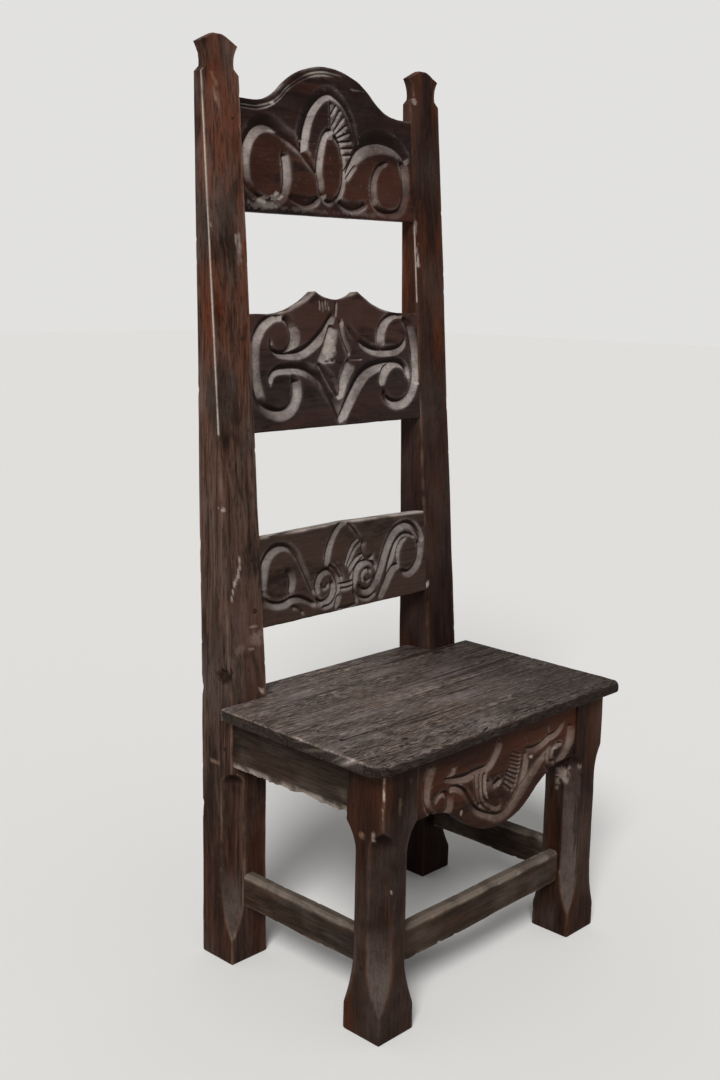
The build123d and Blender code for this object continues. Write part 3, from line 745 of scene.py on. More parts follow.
@dataclass
class Upright:
    """A square post or leg as a wrapped skin. Sizes are in millimetres.

    A bare line is a corner's number and the heights between which its arris is bare. Each painted
    shade, dust with its painted sheen, and warmth over the height is given as the height at which it
    ends or starts, and the run over which it changes.
    """

    name: str
    side: int
    seed: float
    side_length: float = LEG_SIDE
    outer_x: float = HALF_WIDTH
    front_y: float = LEG_FRONT
    height: float = SEAT_UNDERSIDE
    bold: StopChamfer = StopChamfer(25.0, high_run=34.0)
    plain: StopChamfer = StopChamfer(20.0)
    bare_lines: tuple[tuple[int, float, float], ...] = ()
    blemishes: tuple[Blemish, ...] = ()
    finish: AgedOak = SHADED_LEG_OAK
    foot_shade: float = 0.15
    facet_dust: float = 0.0
    arris_wear: float = 0.4
    warmth: float = 0.0
    seat_shadow: Point = (330.0, 80.0)
    body_shadow: Point = (800.0, 500.0)
    foot_dust: Point = (170.0, 90.0)
    warm_rise: Point = (690.0, 360.0)

    def stations(self) -> Array:
        """Heights of the sections, close together at both ends."""
        return np.concatenate([FOOT_STATIONS, np.arange(5.5, self.height - 5, 2.6),
                               self.height - FOOT_STATIONS[::-1]])

    def sides(self, heights: Array) -> tuple[Array, Array, Array, Array]:
        """Where the four faces of the right-hand piece stand.

        Args:
            heights: heights above the floor.

        Returns:
            Inner x, outer x, front y and back y at each height.
        """
        whole = np.ones_like(heights)
        return ((self.outer_x - self.side_length) * whole, self.outer_x * whole,
                self.front_y * whole, (self.front_y + self.side_length) * whole)

    def chamfers(self) -> tuple[StopChamfer | None, ...]:
        """Chamfers of the inner front, outer front, outer back and inner back corners."""
        return (self.plain, self.bold, self.plain, self.plain)

    def square(self) -> Shaft:
        """Lays the piece out before anything is cut from it.

        Returns:
            The square piece.
        """
        heights = self.stations()
        inner, outer, front, back = self.sides(heights)
        corners = np.array([np.column_stack(corner) for corner in (
            (inner, front), (outer, front), (outer, back), (inner, back))])
        shares = np.concatenate([CORNER_OFFSETS, self.side_length - CORNER_OFFSETS[::-1]])
        shares = np.unique(np.round(shares / self.side_length, 6))[:-1]
        columns = []
        for here, there in zip(corners, np.roll(corners, -1, axis=0)):
            columns += [np.column_stack([here + (there - here) * share, heights]) for share in shares]
        return Shaft(heights, corners, np.stack(columns, 1))

    def cut_corners(self, shaft: Shaft) -> Fields:
        """Cuts the chamfers.

        Args:
            shaft: the square piece, which it cuts.

        Returns:
            How near each place is to an arris, a bare line and a chamfer's flat, and the painted shadow
            under an upper stop.
        """
        skin, heights = shaft.skin, shaft.heights
        marks = {label: np.zeros(skin.shape[:2]) for label in ("arris", "bared", "flat", "stop_shadow")}
        for index, (corner, chamfer) in enumerate(zip(shaft.corners, self.chamfers())):
            gap = np.abs(skin[..., :2] - corner[:, None])
            away = gap.sum(-1)
            near = (gap.max(-1) < self.side_length * 0.46) & (gap.min(-1) < 1e-6)
            cut = chamfer.at(heights)[:, None] if chamfer else np.zeros((len(heights), 1))
            slide = near * np.maximum(cut - away, 0) / 2
            skin[..., :2] += slide[..., None] * np.sign(shaft.middle - corner[:, None])
            marks["arris"] = np.maximum(marks["arris"], near * bell(away - cut, 3.0))
            for place, low, high in self.bare_lines:
                along = ((heights > low) & (heights < high))[:, None] & near & (place == index)
                marks["bared"] = np.maximum(marks["bared"], along * bell(away - cut, 1.1))
            if chamfer:
                flat = near * falling(away, cut, 2.5)
                # Painted shadow on the chamfer's flat, just below its upper stop.
                stop = bell(heights - chamfer.high_tip + 11, 14)[:, None]
                marks["flat"] = np.maximum(marks["flat"], flat)
                marks["stop_shadow"] = np.maximum(marks["stop_shadow"], flat * stop)
        return marks

    def round_ends(self, shaft: Shaft) -> None:
        """Wears the arris round the foot.

        Args:
            shaft: the piece, which it changes.
        """
        lift = unit(1 - shaft.heights / 3.2) ** 2 * 1.6
        shrink = (1 - lift / (self.side_length / 2))[:, None, None]
        shaft.skin[..., :2] = shaft.middle + (shaft.skin[..., :2] - shaft.middle) * shrink

    def wear_down(self, shaft: Shaft, arris: Array) -> tuple[Array, Array]:
        """Rounds the arrises, swells the faces a little and chips the edges.

        Args:
            shaft: the piece, which it changes.
            arris: how near each place is to an arris.

        Returns:
            The way out of the piece at each place, [..., xy], and how deep the chips are.
        """
        skin, heights = shaft.skin, shaft.heights
        share = np.clip(0.55 + 0.6 * rough(skin, (60, 60, 90), self.seed), 0.1, 1)
        rounded = soften(skin[..., :2], 5, 1, True)
        skin[..., :2] += (rounded - skin[..., :2]) * share[..., None]
        self.round_ends(shaft)
        outward = skin[..., :2] - shaft.middle
        outward /= np.maximum(np.linalg.norm(outward, axis=-1, keepdims=True), 1e-6)
        swell = 0.45 * rough(skin, (45, 45, 160), self.seed + 1)
        chips = unit(rough(skin, (9, 9, 16), self.seed + 2, 2) - 0.62) * 3.0 * arris
        free = unit(np.minimum(heights / 6, (self.height - heights) / 6))
        skin[..., :2] += outward * (swell - chips)[..., None] * free[:, None, None]
        return outward, chips

    def painting(self, shaft: Shaft, marks: Fields, chips: Array) -> Fields:
        """The values that the finish reads.

        Args:
            shaft: the worn piece.
            marks: how near each place is to an arris, a bare line and a flat, and the painted shadow under
                a stop.
            chips: how deep the chips are.

        Returns:
            The fields.
        """
        skin, heights = shaft.skin, shaft.heights
        blotch = rough(skin, (30, 30, 120), self.seed + 3)
        worn = marks["arris"] * unit(0.45 + 0.7 * blotch)
        bared = marks["bared"] * unit(0.75 + 0.8 * rough(skin, (9, 9, 40), self.seed + 5))
        # Painted shade: darker under the seat and, more weakly, further down, less on worn arrises.
        shadow = unit(falling(heights, *self.seat_shadow) + 0.5 * falling(heights, *self.body_shadow))
        shade = self.foot_shade * shadow[:, None] * (1 - worn)
        warm = self.warmth * rising(heights, *self.warm_rise)[:, None]
        film = np.clip(0.15 + 0.35 * rough(skin, (50, 50, 90), self.seed + 4), 0, 0.5)
        # Pale chamfer facets, most towards the foot: dust, and a painted sheen.
        lying = self.facet_dust + 0.9 * falling(heights, *self.foot_dust)[:, None]
        return {"wear": unit(worn * self.arris_wear + chips * 0.5),
                "warm": unit(warm * (0.4 + 1.3 * blotch)),
                "dust": unit(film + marks["flat"] * lying),
                "hollow_and_shade": unit(np.maximum(shade, marks["stop_shadow"])),
                "chalk": unit(bared * 1.3)}

    def build(self) -> bpy.types.Object:
        """Builds the piece and puts its finish on.

        Returns:
            The dressed piece.
        """
        shaft = self.square()
        marks = self.cut_corners(shaft)
        outward, chips = self.wear_down(shaft, marks["arris"])
        fields = self.painting(shaft, marks, chips)
        shaft.skin[..., 0] *= self.side
        outward = np.concatenate([outward * [self.side, 1], np.zeros_like(outward[..., :1])], -1)
        for blemish in self.blemishes:
            blemish.mark(shaft.skin, outward, fields)
        piece = wrap_grid(self.name + "_worn", shaft.skin, fields)
        return self.finish.fit(piece, self.name, Grain.UPRIGHT, self.seed)


@dataclass
class RearPost(Upright):
    """A rear post: square to the seat, leaning and tapering above it, with a capped top."""

    front_y: float = POST_FRONT
    height: float = CHAIR_HEIGHT
    top_depth: float = 13.0
    neck_foot: float = POST_LEDGE + 8
    cap: float = CHAIR_HEIGHT - 14
    neck_inset: float = 8.5
    waist_draw: float = 5.3
    flat: float = 16.0
    bold: StopChamfer = StopChamfer(25.0, high_tip=312.0, high_run=24.0)
    finish: AgedOak = POST_OAK
    foot_shade: float = 0.55
    arris_wear: float = 0.6
    warmth: float = 0.9

    def stations(self) -> Array:
        """Heights of the sections, close together at the foot and the capped top."""
        return np.concatenate([FOOT_STATIONS, np.arange(5.5, POST_LEDGE - 4, 3.0),
                               np.arange(POST_LEDGE - 3, self.height + 0.01, 1.0)])

    def sides(self, heights: Array) -> tuple[Array, Array, Array, Array]:
        """Where the four faces of the right-hand post stand.

        Args:
            heights: heights above the floor.

        Returns:
            Inner x, outer x, front y and back y at each height.
        """
        over = np.clip(heights - SEAT_UNDERSIDE, 0, None)
        lean = over / (self.height - SEAT_UNDERSIDE)
        front = self.front_y + POST_LEAN * lean
        back_foot = self.front_y + self.side_length
        back = back_foot + (self.front_y + POST_LEAN + self.top_depth - back_foot) * lean
        half = self.side_length / 2
        drawn_in = np.minimum(over / (POST_LEDGE - SEAT_UNDERSIDE), 1)
        centre = self.outer_x - half - POST_DRAW_IN * drawn_in
        neck = half - self.neck_inset
        share = rising(heights, self.neck_foot, self.cap - self.neck_foot)
        waist = neck - self.waist_draw * share + (self.waist_draw + self.neck_inset) * share**2
        foot = rising(heights, POST_LEDGE, self.neck_foot - POST_LEDGE)
        top = rising(heights, self.cap, self.height - self.cap)
        width = np.where(heights < self.neck_foot, half + (neck - half) * foot, waist)
        width = np.where(heights > self.cap, half + (self.flat / 2 - half) * top, width)
        return centre - width, centre + width, front, back

    def chamfers(self) -> tuple[StopChamfer | None, ...]:
        """Only the outer front corner is chamfered."""
        return (None, self.bold, None, None)

    def round_ends(self, shaft: Shaft) -> None:
        """Wears the foot's arris, and the front and back of the cap towards its top.

        Args:
            shaft: the piece, which it changes.
        """
        super().round_ends(shaft)
        shrink = 1 - 0.35 * rising(shaft.heights, self.height - 4, 4)[:, None] ** 2
        middle = shaft.middle[..., 1]
        shaft.skin[..., 1] = middle + (shaft.skin[..., 1] - middle) * shrink


# ---------------------------------------------------------------- rails, stretchers
SEAT_RAIL = (322.0, 80.0, 24.0)  # bottom, height and thickness
STRETCHER = (91.0, 52.0, 21.0)


@dataclass
class Bar:
    """A plain rail or stretcher between two uprights. Sizes are in millimetres."""

    name: str
    grain: Grain
    centre: float
    bottom: float
    height: float
    thickness: float
    seed: float
    finish: AgedOak = RAIL_OAK
    top_arris: float = 1.0
    low_wear: float = 0.0

    def square(self, section: Array) -> Array:
        """The skin before it is worn.

        Args:
            section: places round the section, across and up.

        Returns:
            The places, [station, place round the section, xyz].
        """
        reach = CROSS_REACH if self.grain is Grain.ACROSS else SIDE_REACH
        along = np.linspace(-reach, reach, int(2 * reach / 2.6))
        skin = np.zeros((len(along), len(section), 3))
        skin[..., self.grain.value] = along[:, None]
        skin[..., 1 - self.grain.value] = section[:, 0] + self.centre
        skin[..., 2] = section[:, 1]
        return skin

    def wear_down(self, skin: Array, arris: Array) -> tuple[Array, Array]:
        """Rounds the arrises, swells the faces a little, chips the edges and eats the lower one.

        Args:
            skin: places, which it moves.
            arris: how near each place round the section is to an arris.

        Returns:
            How deep the chips are, and how much of the lower edge's wear there is.
        """
        share = np.clip(0.5 + 0.7 * rough(skin, (70, 70, 70), self.seed), 0.1, 1)
        skin += (soften(skin, 4, 1, True) - skin) * share[..., None]
        outward = skin.copy()
        outward[..., self.grain.value] = 0
        outward[..., 1 - self.grain.value] -= self.centre
        outward[..., 2] -= self.bottom + self.height / 2
        outward[..., 2] *= self.thickness / self.height
        outward /= np.maximum(np.linalg.norm(outward, axis=-1, keepdims=True), 1e-6)
        swell_size = [30.0, 30.0, 30.0]
        swell_size[self.grain.value] = 90.0
        swell = 0.5 * rough(skin, tuple(swell_size), self.seed + 1)
        chips = unit(rough(skin, (12, 12, 9), self.seed + 2, 2) - 0.5) * 4.0 * arris
        low = falling(skin[..., 2], self.bottom + 12, 12) * self.low_wear
        chips += low * unit(0.3 + rough(skin, (16, 16, 10), self.seed + 5)) * 4.0
        skin += outward * (swell - chips)[..., None]
        return chips, low

    def build(self) -> bpy.types.Object:
        """Builds the piece and puts its finish on.

        Returns:
            The dressed piece.
        """
        half, cut, top = self.thickness / 2, self.top_arris, self.bottom + self.height
        knots = ((-half, self.bottom), (half, self.bottom), (half, top - cut), (half - cut, top),
                 (cut - half, top), (-half, top - cut))
        across, up = steps(self.thickness, 2.4), steps(self.height, 2.4)
        section = section_round(knots, [across, up, 2, across, 2, up])
        nearest = np.min([np.hypot(*(section - knot).T) for knot in knots], axis=0)
        arris = bell(nearest, 3.0)
        skin = self.square(section)
        chips, low = self.wear_down(skin, arris)
        upper = section[:, 1] > self.bottom + self.height * 0.6
        blotch = rough(skin, (60, 60, 30), self.seed + 3)
        worn = arris * unit(0.35 + 0.5 * upper + 0.8 * blotch)
        top_dust = rising(section[:, 1], top - cut - 1.5, 1.5)
        splinters = 0.55 + 0.8 * rough(skin, (14, 14, 9), self.seed + 6)
        fields = {"wear": unit(worn * 0.8 + low * 0.45 + 0.25 * chips),
                  "dust": np.clip(0.02 + 0.3 * blotch + 0.7 * top_dust, 0, 0.9),
                  "chalk": np.clip(low * splinters, 0, 0.4),
                  "hollow_and_shade": np.zeros(skin.shape[:2])}
        piece = wrap_grid(self.name + "_worn", skin, fields)
        return self.finish.fit(piece, self.name, self.grain, self.seed)


# ---------------------------------------------------------------- seat
@dataclass
class SeatBoard:
    """One plank of the seat, with a weathered top. Sizes are in millimetres."""

    name: str
    front_y: float
    back_y: float
    seed: float
    front_round: float
    corner_radii: Point
    half_length: float = 284.0
    skew: float = 4.0
    skew_front: float = -208.0
    bottom: float = SEAT_UNDERSIDE
    top: float = SEAT_HEIGHT
    notch_x: float = HALF_WIDTH - LEG_SIDE - NOTCH_CLEARANCE
    notch_y: float = POST_FRONT - NOTCH_CLEARANCE
    notched: bool = False
    edge_wear: float = 1.0

    def end(self, side: int, y: Array) -> Array:
        """Where the board's end lies, as it runs slightly out of square.

        Args:
            side: -1 for the left end and 1 for the right one.
            y: places from front to back.

        Returns:
            The distance from the middle at each place.
        """
        share = rising(y, self.skew_front, self.notch_y - self.skew_front)
        return self.half_length - side * self.skew * (1 - 2 * share)

    def section(self) -> Array:
        """Lays out the board's section, with its arrises eased.

        Returns:
            Places round it, front to back and up, [n, 2].
        """
        deep, tall, r = self.back_y - self.front_y, self.top - self.bottom, self.front_round
        knots = ((self.front_y, self.bottom), (self.back_y, self.bottom), (self.back_y, self.top),
                 (self.front_y + r, self.top), (self.front_y, self.top - r))
        section = section_round(knots, [steps(deep, 5.0), steps(tall, 2.2), steps(deep - r, 1.9), 3,
                                        steps(tall - r, 2.2)])
        return section + (soften(section, 3, 0, True) - section) * 0.9

    def lay_out(self, section: Array) -> tuple[Array, Array]:
        """The skin with its rounded corners and ends.

        Args:
            section: places round the section, front to back and up.

        Returns:
            The places, [station, place round the section, xyz], and how far each is from the end.
        """
        shares = np.linspace(-1, 1, 232)
        shares = (np.sign(shares) * (1 - (1 - np.abs(shares)) ** 1.3))[:, None]
        skin = np.zeros((len(shares), len(section), 3))
        left_radius, right_radius = self.corner_radii
        corner = np.where(shares < 0, left_radius, right_radius)
        turn = np.clip(corner - (1 - np.abs(shares)) * self.half_length, 0, None)
        pull = corner - np.sqrt(np.maximum(corner**2 - turn**2, 0))
        y = section[:, 0] * np.ones_like(shares)
        half_way = (self.back_y - self.front_y) * 0.5
        y = y + pull * unit(1 - np.clip(y - self.front_y, 0, None) / half_way)
        reach = np.where(shares < 0, self.end(-1, y), self.end(1, y))
        skin[..., 0] = shares * reach
        skin[..., 1] = y
        skin[..., 2] = section[:, 1]
        end_gap = reach - np.abs(skin[..., 0])
        round_down = unit(1 - end_gap / 3.5) ** 2 * 2.2
        is_top = section[:, 1] > (self.top + self.bottom) / 2
        skin[..., 2] -= np.where(is_top, round_down, -round_down * 0.6)
        return skin, end_gap

    def weather(self, skin: Array, section: Array, end_gap: Array) -> Fields:
        """Furrows and dishes the top, chips the edges and works out what the finish reads, with painted
        shade towards the right, on the sides and on the ends.

        Args:
            skin: places, which it moves.
            section: places round the section, front to back and up.
            end_gap: how far each place is from the end.

        Returns:
            The fields.
        """
        upper = rising(skin[..., 2], self.top - 3, 3)
        swell = 0.35 * rough(skin, (160, 26, 30), self.seed)
        furrow = -0.45 * unit(rough(skin, (140, 3.4, 30), self.seed + 1, 2) - 0.2)
        # Painted shade, darker towards the right.
        shade = 0.74 * rising(skin[..., 0], -60, 260)
        dish = -0.48 * bell(skin[..., 0], 150)
        skin[..., 2] += upper * (swell + furrow + dish)
        chips = unit(rough(skin, (22, 12, 12), self.seed + 2, 2) - 0.5)
        front_near = bell(section[:, 0] - self.front_y, 3.2) * np.ones_like(upper)
        end_near = bell(end_gap, 3.2)
        back_near = bell(skin[..., 1] - self.back_y, 2.5)
        skin[..., 1] += front_near * chips * 2.5
        skin[..., 0] -= np.sign(skin[..., 0]) * end_near * chips * 2.0
        blotch = rough(skin, (90, 25, 30), self.seed + 3)
        arris = np.maximum(front_near, end_near) * (skin[..., 2] > self.top - 2.4) * self.edge_wear
        edge_chips = unit(rough(skin, (9, 9, 9), self.seed + 6, 2) - 0.1) * 1.6
        # Painted shade on the board's sides below the top, and over all of its end caps.
        side_shade = falling(skin[..., 2], self.top - 1.6, 2.5)
        side_shade[[0, -1]] = 1.0
        upper[[0, -1]] = 0.0
        return {"wear": unit(arris * (0.35 + edge_chips) * (0.9 + 0.5 * blotch)),
                "chalk": unit(arris * edge_chips * 0.9 - 0.2),
                "dust": np.clip(0.15 + 0.6 * blotch, 0, 0.8) * upper,
                "hollow_and_shade": unit(back_near * 0.6 - 0.1 + furrow * -2.4 + shade + side_shade)}

    def cut_notches(self, piece: bpy.types.Object) -> None:
        """Cuts the corners away round the posts.

        Args:
            piece: the board.
        """
        reach, tall = 200.0, 60.0
        for side in (-1, 1):
            deselect()
            spot = (side * (self.notch_x + reach / 2), self.notch_y + reach / 2,
                    (self.top + self.bottom) / 2)
            bpy.ops.mesh.primitive_cube_add(size=1, location=[v * MM for v in spot])
            block = bpy.context.object
            block.scale = (reach * MM, reach * MM, tall * MM)
            bpy.ops.object.transform_apply(location=True, rotation=True, scale=True)
            make_active(piece)
            cut = piece.modifiers.new("notch", "BOOLEAN")
            cut.operation = "DIFFERENCE"
            cut.solver = "EXACT"
            cut.object = block
            bpy.ops.object.modifier_apply(modifier="notch")
            bpy.data.objects.remove(block)
        bpy.ops.object.shade_smooth_by_angle(angle=SMOOTH_ANGLE)

    def build(self) -> bpy.types.Object:
        """Builds the plank, cuts its notches and puts its finish on.

        Returns:
            The dressed board.
        """
        section = self.section()
        skin, end_gap = self.lay_out(section)
        piece = wrap_grid(self.name + "_worn", skin, self.weather(skin, section, end_gap))
        if self.notched:
            self.cut_notches(piece)
        return SEAT_OAK.fit(piece, self.name, Grain.ACROSS, self.seed)


# ---------------------------------------------------------------- carving
@dataclass(frozen=True)
class Cut:
    """One valley of the carving, with a slope on each side of its run.

    Seen along the run, left is to the left with the board upright. Widths and depth are in
    millimetres and change evenly along the run where more than one is given.
    """

    run: Line
    left: Widths
    right: Widths
    depth: Widths = 4.0
    fade: float = 6.0

    def carve(self, relief: Array, x: Array, z: Array) -> Array:
        """Cuts the valley into the relief.

        Args:
            relief: depth below the face, negative inwards, over the board.
            x: place across, at the same places.
            z: height, at the same places.

        Returns:
            The relief with the valley.
        """
        line = through(self.run)
        left, right = self.along(self.left, len(line)), self.along(self.right, len(line))
        reach = max(left.max(), right.max())
        low, high = line.min(0) - reach, line.max(0) + reach
        near = (x > low[0]) & (x < high[0]) & (z > low[1]) & (z < high[1])
        spots = np.stack([x[near], z[near]], -1)
        if not len(spots):
            return relief
        tangent = np.gradient(line, axis=0)
        tangent /= np.maximum(np.linalg.norm(tangent, axis=1, keepdims=True), 1e-9)
        deep = self.along(self.depth, len(line)) * self.ends(line)
        cut = np.zeros(len(spots))
        at_once = 20000
        for start in range(0, len(spots), at_once):
            block = spots[start:start + at_once]
            gap = block[:, None, :] - line[None, :, :]
            away = np.hypot(gap[..., 0], gap[..., 1])
            index = np.argmin(away, 1)
            rows = np.arange(len(block))
            away, offset = away[rows, index], gap[rows, index]
            way = tangent[index, 0] * offset[:, 1] - tangent[index, 1] * offset[:, 0]
            width = np.where(way > 0, left[index], right[index])
            cut[start:start + at_once] = deep[index] * unit(1 - away / np.maximum(width, 0.3)) ** 1.3
        result = relief.copy()
        result[near] = np.minimum(relief[near], -cut)
        return result

    def ends(self, line: Array) -> Array:
        """How far the valley has faded in from its ends. A closed run has none.

        Args:
            line: places along the run.

        Returns:
            A share for each place.
        """
        gone = np.concatenate([[0], np.cumsum(np.linalg.norm(np.diff(line, axis=0), axis=1))])
        closed = np.hypot(*(line[0] - line[-1])) < 2.0
        faded = np.clip(np.minimum(gone, gone[-1] - gone) / self.fade, 0.15, 1)
        return np.ones(len(line)) if closed else faded

    @staticmethod
    def along(width: Widths, count: int) -> Array:
        """A width or depth at each of a number of places along the run."""
        widths = width if isinstance(width, tuple) else (width, width)
        return np.interp(np.linspace(0, 1, count), np.linspace(0, 1, len(widths)), widths)


@dataclass(frozen=True)
class Patch:
    """A spot where the old surface has gone pale. Sizes are in millimetres."""

    across: float
    height: float
    wide: float
    tall: float
    paleness: float = 1.0

    def share(self, x: Array, z: Array, seed: float) -> Array:
        """How much of the spot there is, with a ragged edge.

        Args:
            x: places across.
            z: heights, at the same places.
            seed: picks the ragged edge.

        Returns:
            The share at each place, from 0 to 1.
        """
        away = np.hypot((x - self.across) / self.wide, (z - self.height) / self.tall)
        ragged = rough(np.stack([x, 0 * x, z], -1), (5, 5, 4), seed)
        return unit((1.15 - away + 0.5 * ragged) * 2.2) * self.paleness


@dataclass(frozen=True)
class BoardFace:
    """The plane of a carved face: up the board is measured as height above the floor."""

    foot: Place
    rise: Place
    outward: Place

    def spot(self, x: Array, z: Array, out: Array) -> Array:
        """Places in the frame.

        Args:
            x: places across.
            z: heights above the floor.
            out: how far out of the face.

        Returns:
            The places, [..., xyz].
        """
        up = (z - self.foot[2])[..., None] * np.array(self.rise)
        return np.array(self.foot) + x[..., None] * np.array([1.0, 0, 0]) + up \
            + out[..., None] * np.array(self.outward)


LEAN = math.atan2(POST_LEAN, CHAIR_HEIGHT - SEAT_UNDERSIDE)
BACK_FACE = BoardFace((0, POST_FRONT + BACK_RAIL_RECESS * math.cos(LEAN),
                       SEAT_UNDERSIDE - BACK_RAIL_RECESS * math.sin(LEAN)),
                      (0, math.tan(LEAN), 1.0), (0, -math.cos(LEAN), math.sin(LEAN)))
APRON_FACE = BoardFace((0, LEG_FRONT + RAIL_RECESS, SEAT_UNDERSIDE), (0, 0, 1.0), (0, -1.0, 0))


@dataclass
class Strip:
    """A part of a board's skin and what is painted on it, each [station, place, ...]."""

    places: Array
    wear: Array
    dust: Array
    hollow_and_shade: Array
    chalk: Array


@dataclass
class Ground:
    """The carved face's grid: places across, heights, and heights of the board's two edges."""

    x: Array
    z: Array
    low: Array
    high: Array

    @property
    def spot(self) -> Array:
        """The places, without the relief, for seeded unevenness."""
        return np.stack([self.x, np.zeros_like(self.x), self.z], -1)


@dataclass
class CarvedBoard:
    """A rail whose face is carved. Sizes are in millimetres.

    An edge line is scored along the top: how far below the edge, and from where to where across.
    The pale dust and painted highlight thin out below one height, and by a share towards the right.
    """

    name: str
    face: BoardFace
    cuts: list[Cut]
    thickness: float
    seed: float
    step: float = 1.1
    edge_round: float = 2.2
    post_draw_in: float = 0.0
    top_dust: float = 0.6
    top_wear: float = 0.6
    top_chalk: float = 0.0
    dim_below: float = 0.0
    dim_right: float = 0.0
    edge_lines: tuple[tuple[float, float, float], ...] = ()
    patches: tuple[Patch, ...] = ()
    finish: AgedOak = CARVED_OAK

    def outline(self, x: Array) -> tuple[Array, Array]:
        """Heights of the board's lower and upper edge, from its solid's back.

        Args:
            x: places across.

        Returns:
            The lower and the upper heights at these places.
        """
        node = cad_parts[self.name]
        places = np.zeros(len(node.data.vertices) * 3)
        node.data.vertices.foreach_get("co", places)
        foot, rise, out = (np.array(v) for v in (self.face.foot, self.face.rise, self.face.outward))
        places = places.reshape(-1, 3) / MM
        heights = foot[2] + ((places - foot) @ rise) / (rise @ rise)
        back = np.abs((places - foot) @ out + self.thickness) < 0.2
        across, heights = places[back, 0], heights[back]
        upper = heights > (heights.max() + heights.min()) / 2
        edges = []
        for edge in (~upper, upper):
            order = np.argsort(across[edge], kind="stable")
            edges.append(np.interp(x, across[edge][order], heights[edge][order]))
        return edges[0], edges[1]

    def across(self, shares: Array, z: Array) -> Array:
        """Places across the board, which narrows upwards where its posts draw in.

        Args:
            shares: shares of the half length, one for each station.
            z: heights, [station, place].

        Returns:
            The places, [station, place].
        """
        over = np.clip(z - SEAT_UNDERSIDE, 0, None) / (POST_LEDGE - SEAT_UNDERSIDE)
        return shares[:, None] * (CROSS_REACH - self.post_draw_in * over)

    def lay_out(self, shares: Array) -> Ground:
        """The carved face's grid, with slightly uneven edges.

        Args:
            shares: shares of the half length, one for each station.

        Returns:
            The grid.
        """
        x = shares * (CROSS_REACH - 4)  # just inside the solid's shoulders
        low, high = self.outline(x)
        line = np.stack([x, 0 * x, 0 * x], -1)
        low = low + 0.35 * rough(line, (24, 9, 9), self.seed + 8)
        high = high + 0.35 * rough(line, (20, 9, 9), self.seed + 9)
        up = np.linspace(0, 1, int((high.max() - low.min()) / self.step))
        z = low[:, None] + (high - low)[:, None] * up
        return Ground(self.across(shares, z), z, low[:, None], high[:, None])

    def scored(self, ground: Ground) -> Array:
        """The lines scored along the top edge.

        Args:
            ground: the board's laid-out face.

        Returns:
            From 0 to 1 at each place of the grid.
        """
        lines = np.zeros_like(ground.x)
        for drop, first, last in self.edge_lines:
            inside = rising(ground.x, first, 6) * falling(ground.x, last, 20)
            lines = np.maximum(lines, bell(ground.high - drop - ground.z, 0.9) * inside)
        return lines

    def front(self, ground: Ground) -> tuple[Strip, Array]:
        """The carved face.

        Args:
            ground: its grid.

        Returns:
            The face, and its depth over the grid.
        """
        relief = np.zeros_like(ground.x)
        for cut in self.cuts:
            relief = cut.carve(relief, ground.x, ground.z)
        scored = self.scored(ground)
        relief = soften_both(relief - 0.7 * scored, 1)
        crisp = relief - soften_both(relief, 14)
        slope_z = np.gradient(relief, axis=1) / np.maximum(np.gradient(ground.z, axis=1), 0.1)
        slope_x = np.gradient(relief, axis=0) / self.step
        relief = self.wear_down(relief, ground, crisp)
        strip = self.painting(ground, crisp, slope_x * 0.8 - slope_z, scored)
        strip.places = self.face.spot(ground.x, ground.z, relief)
        return strip, relief

    def wear_down(self, relief: Array, ground: Ground, crisp: Array) -> Array:
        """Adds swells, tool marks and chips, and rounds the board's edges.

        Args:
            relief: the carving's depth.
            ground: the grid.
            crisp: how far each place stands above what lies round it.

        Returns:
            The worn relief.
        """
        spot = ground.spot
        swell = 0.25 * rough(spot, (60, 10, 16), self.seed)
        tool = 0.10 * rough(spot, (5, 5, 4), self.seed + 1, 2)
        chips = -unit(rough(spot, (6, 6, 4), self.seed + 2, 2) - 0.55) * 2.2
        relief = relief + swell + tool + chips * unit(crisp * 1.5)
        edge = np.minimum(ground.z - ground.low, ground.high - ground.z)
        r = self.edge_round * np.clip(1 + 0.5 * rough(spot, (25, 9, 25), self.seed + 4), 0.4, 1.6)
        over = np.clip(r - edge, 0, None)
        return relief - (r - np.sqrt(np.maximum(r**2 - over**2, 0)))

    def painting(self, ground: Ground, crisp: Array, upward: Array, scored: Array) -> Strip:
        """What the finish reads on the carved face.

        Args:
            ground: the grid.
            crisp: how far each place stands above what lies round it.
            upward: how far each place faces up and to the left, where dust lies and light falls; painted
                highlight goes there, and painted shade where places face away.
            scored: the lines scored along the top edge.

        Returns:
            The painted values, still without the places.
        """
        x, z, spot = ground.x, ground.z, ground.spot
        high_near = bell(ground.high - z, 3.0)
        blotch = rough(spot, (45, 10, 30), self.seed + 5)
        rubbed = unit(0.5 + 0.8 * blotch)
        wear = np.maximum(unit(crisp * 0.9), scored) * rubbed
        wear = np.maximum(wear, high_near * self.top_wear * unit(0.6 + blotch))
        # Dust and a painted highlight on flanks that face up and to the left.
        lying = unit(upward * 2.6 - 0.12)
        dust = unit(lying * np.clip(0.85 + 0.4 * blotch, 0.3, 1.15))
        dust *= np.clip((z - self.dim_below) / 60, 0.25, 1)
        dust *= 1 - self.dim_right * rising(x, 10, 60)
        # Painted shade in the recesses and on flanks that face down and to the right.
        recess_shade = np.clip(-crisp * 0.35 - 0.25, 0, 0.8)
        hollow_and_shade = recess_shade * (1 - 0.6 * lying) + 0.75 * unit(-upward * 2.2)
        chalk = np.maximum(high_near**2 * self.top_chalk, 0.8 * scored) * unit(0.6 + blotch)
        flecks = unit(rough(spot, (3.5, 3.5, 2.6), self.seed + 10, 2) - 0.7) * 2.5
        chalk = np.maximum(chalk, flecks * unit(crisp * 1.2 + 0.1) * unit(0.4 + blotch))
        for patch in self.patches:
            share = patch.share(x, z, self.seed)
            chalk = np.maximum(chalk, share)
            hollow_and_shade = hollow_and_shade * (1 - share)
        return Strip(spot, wear, dust, unit(hollow_and_shade), unit(chalk * 0.8))

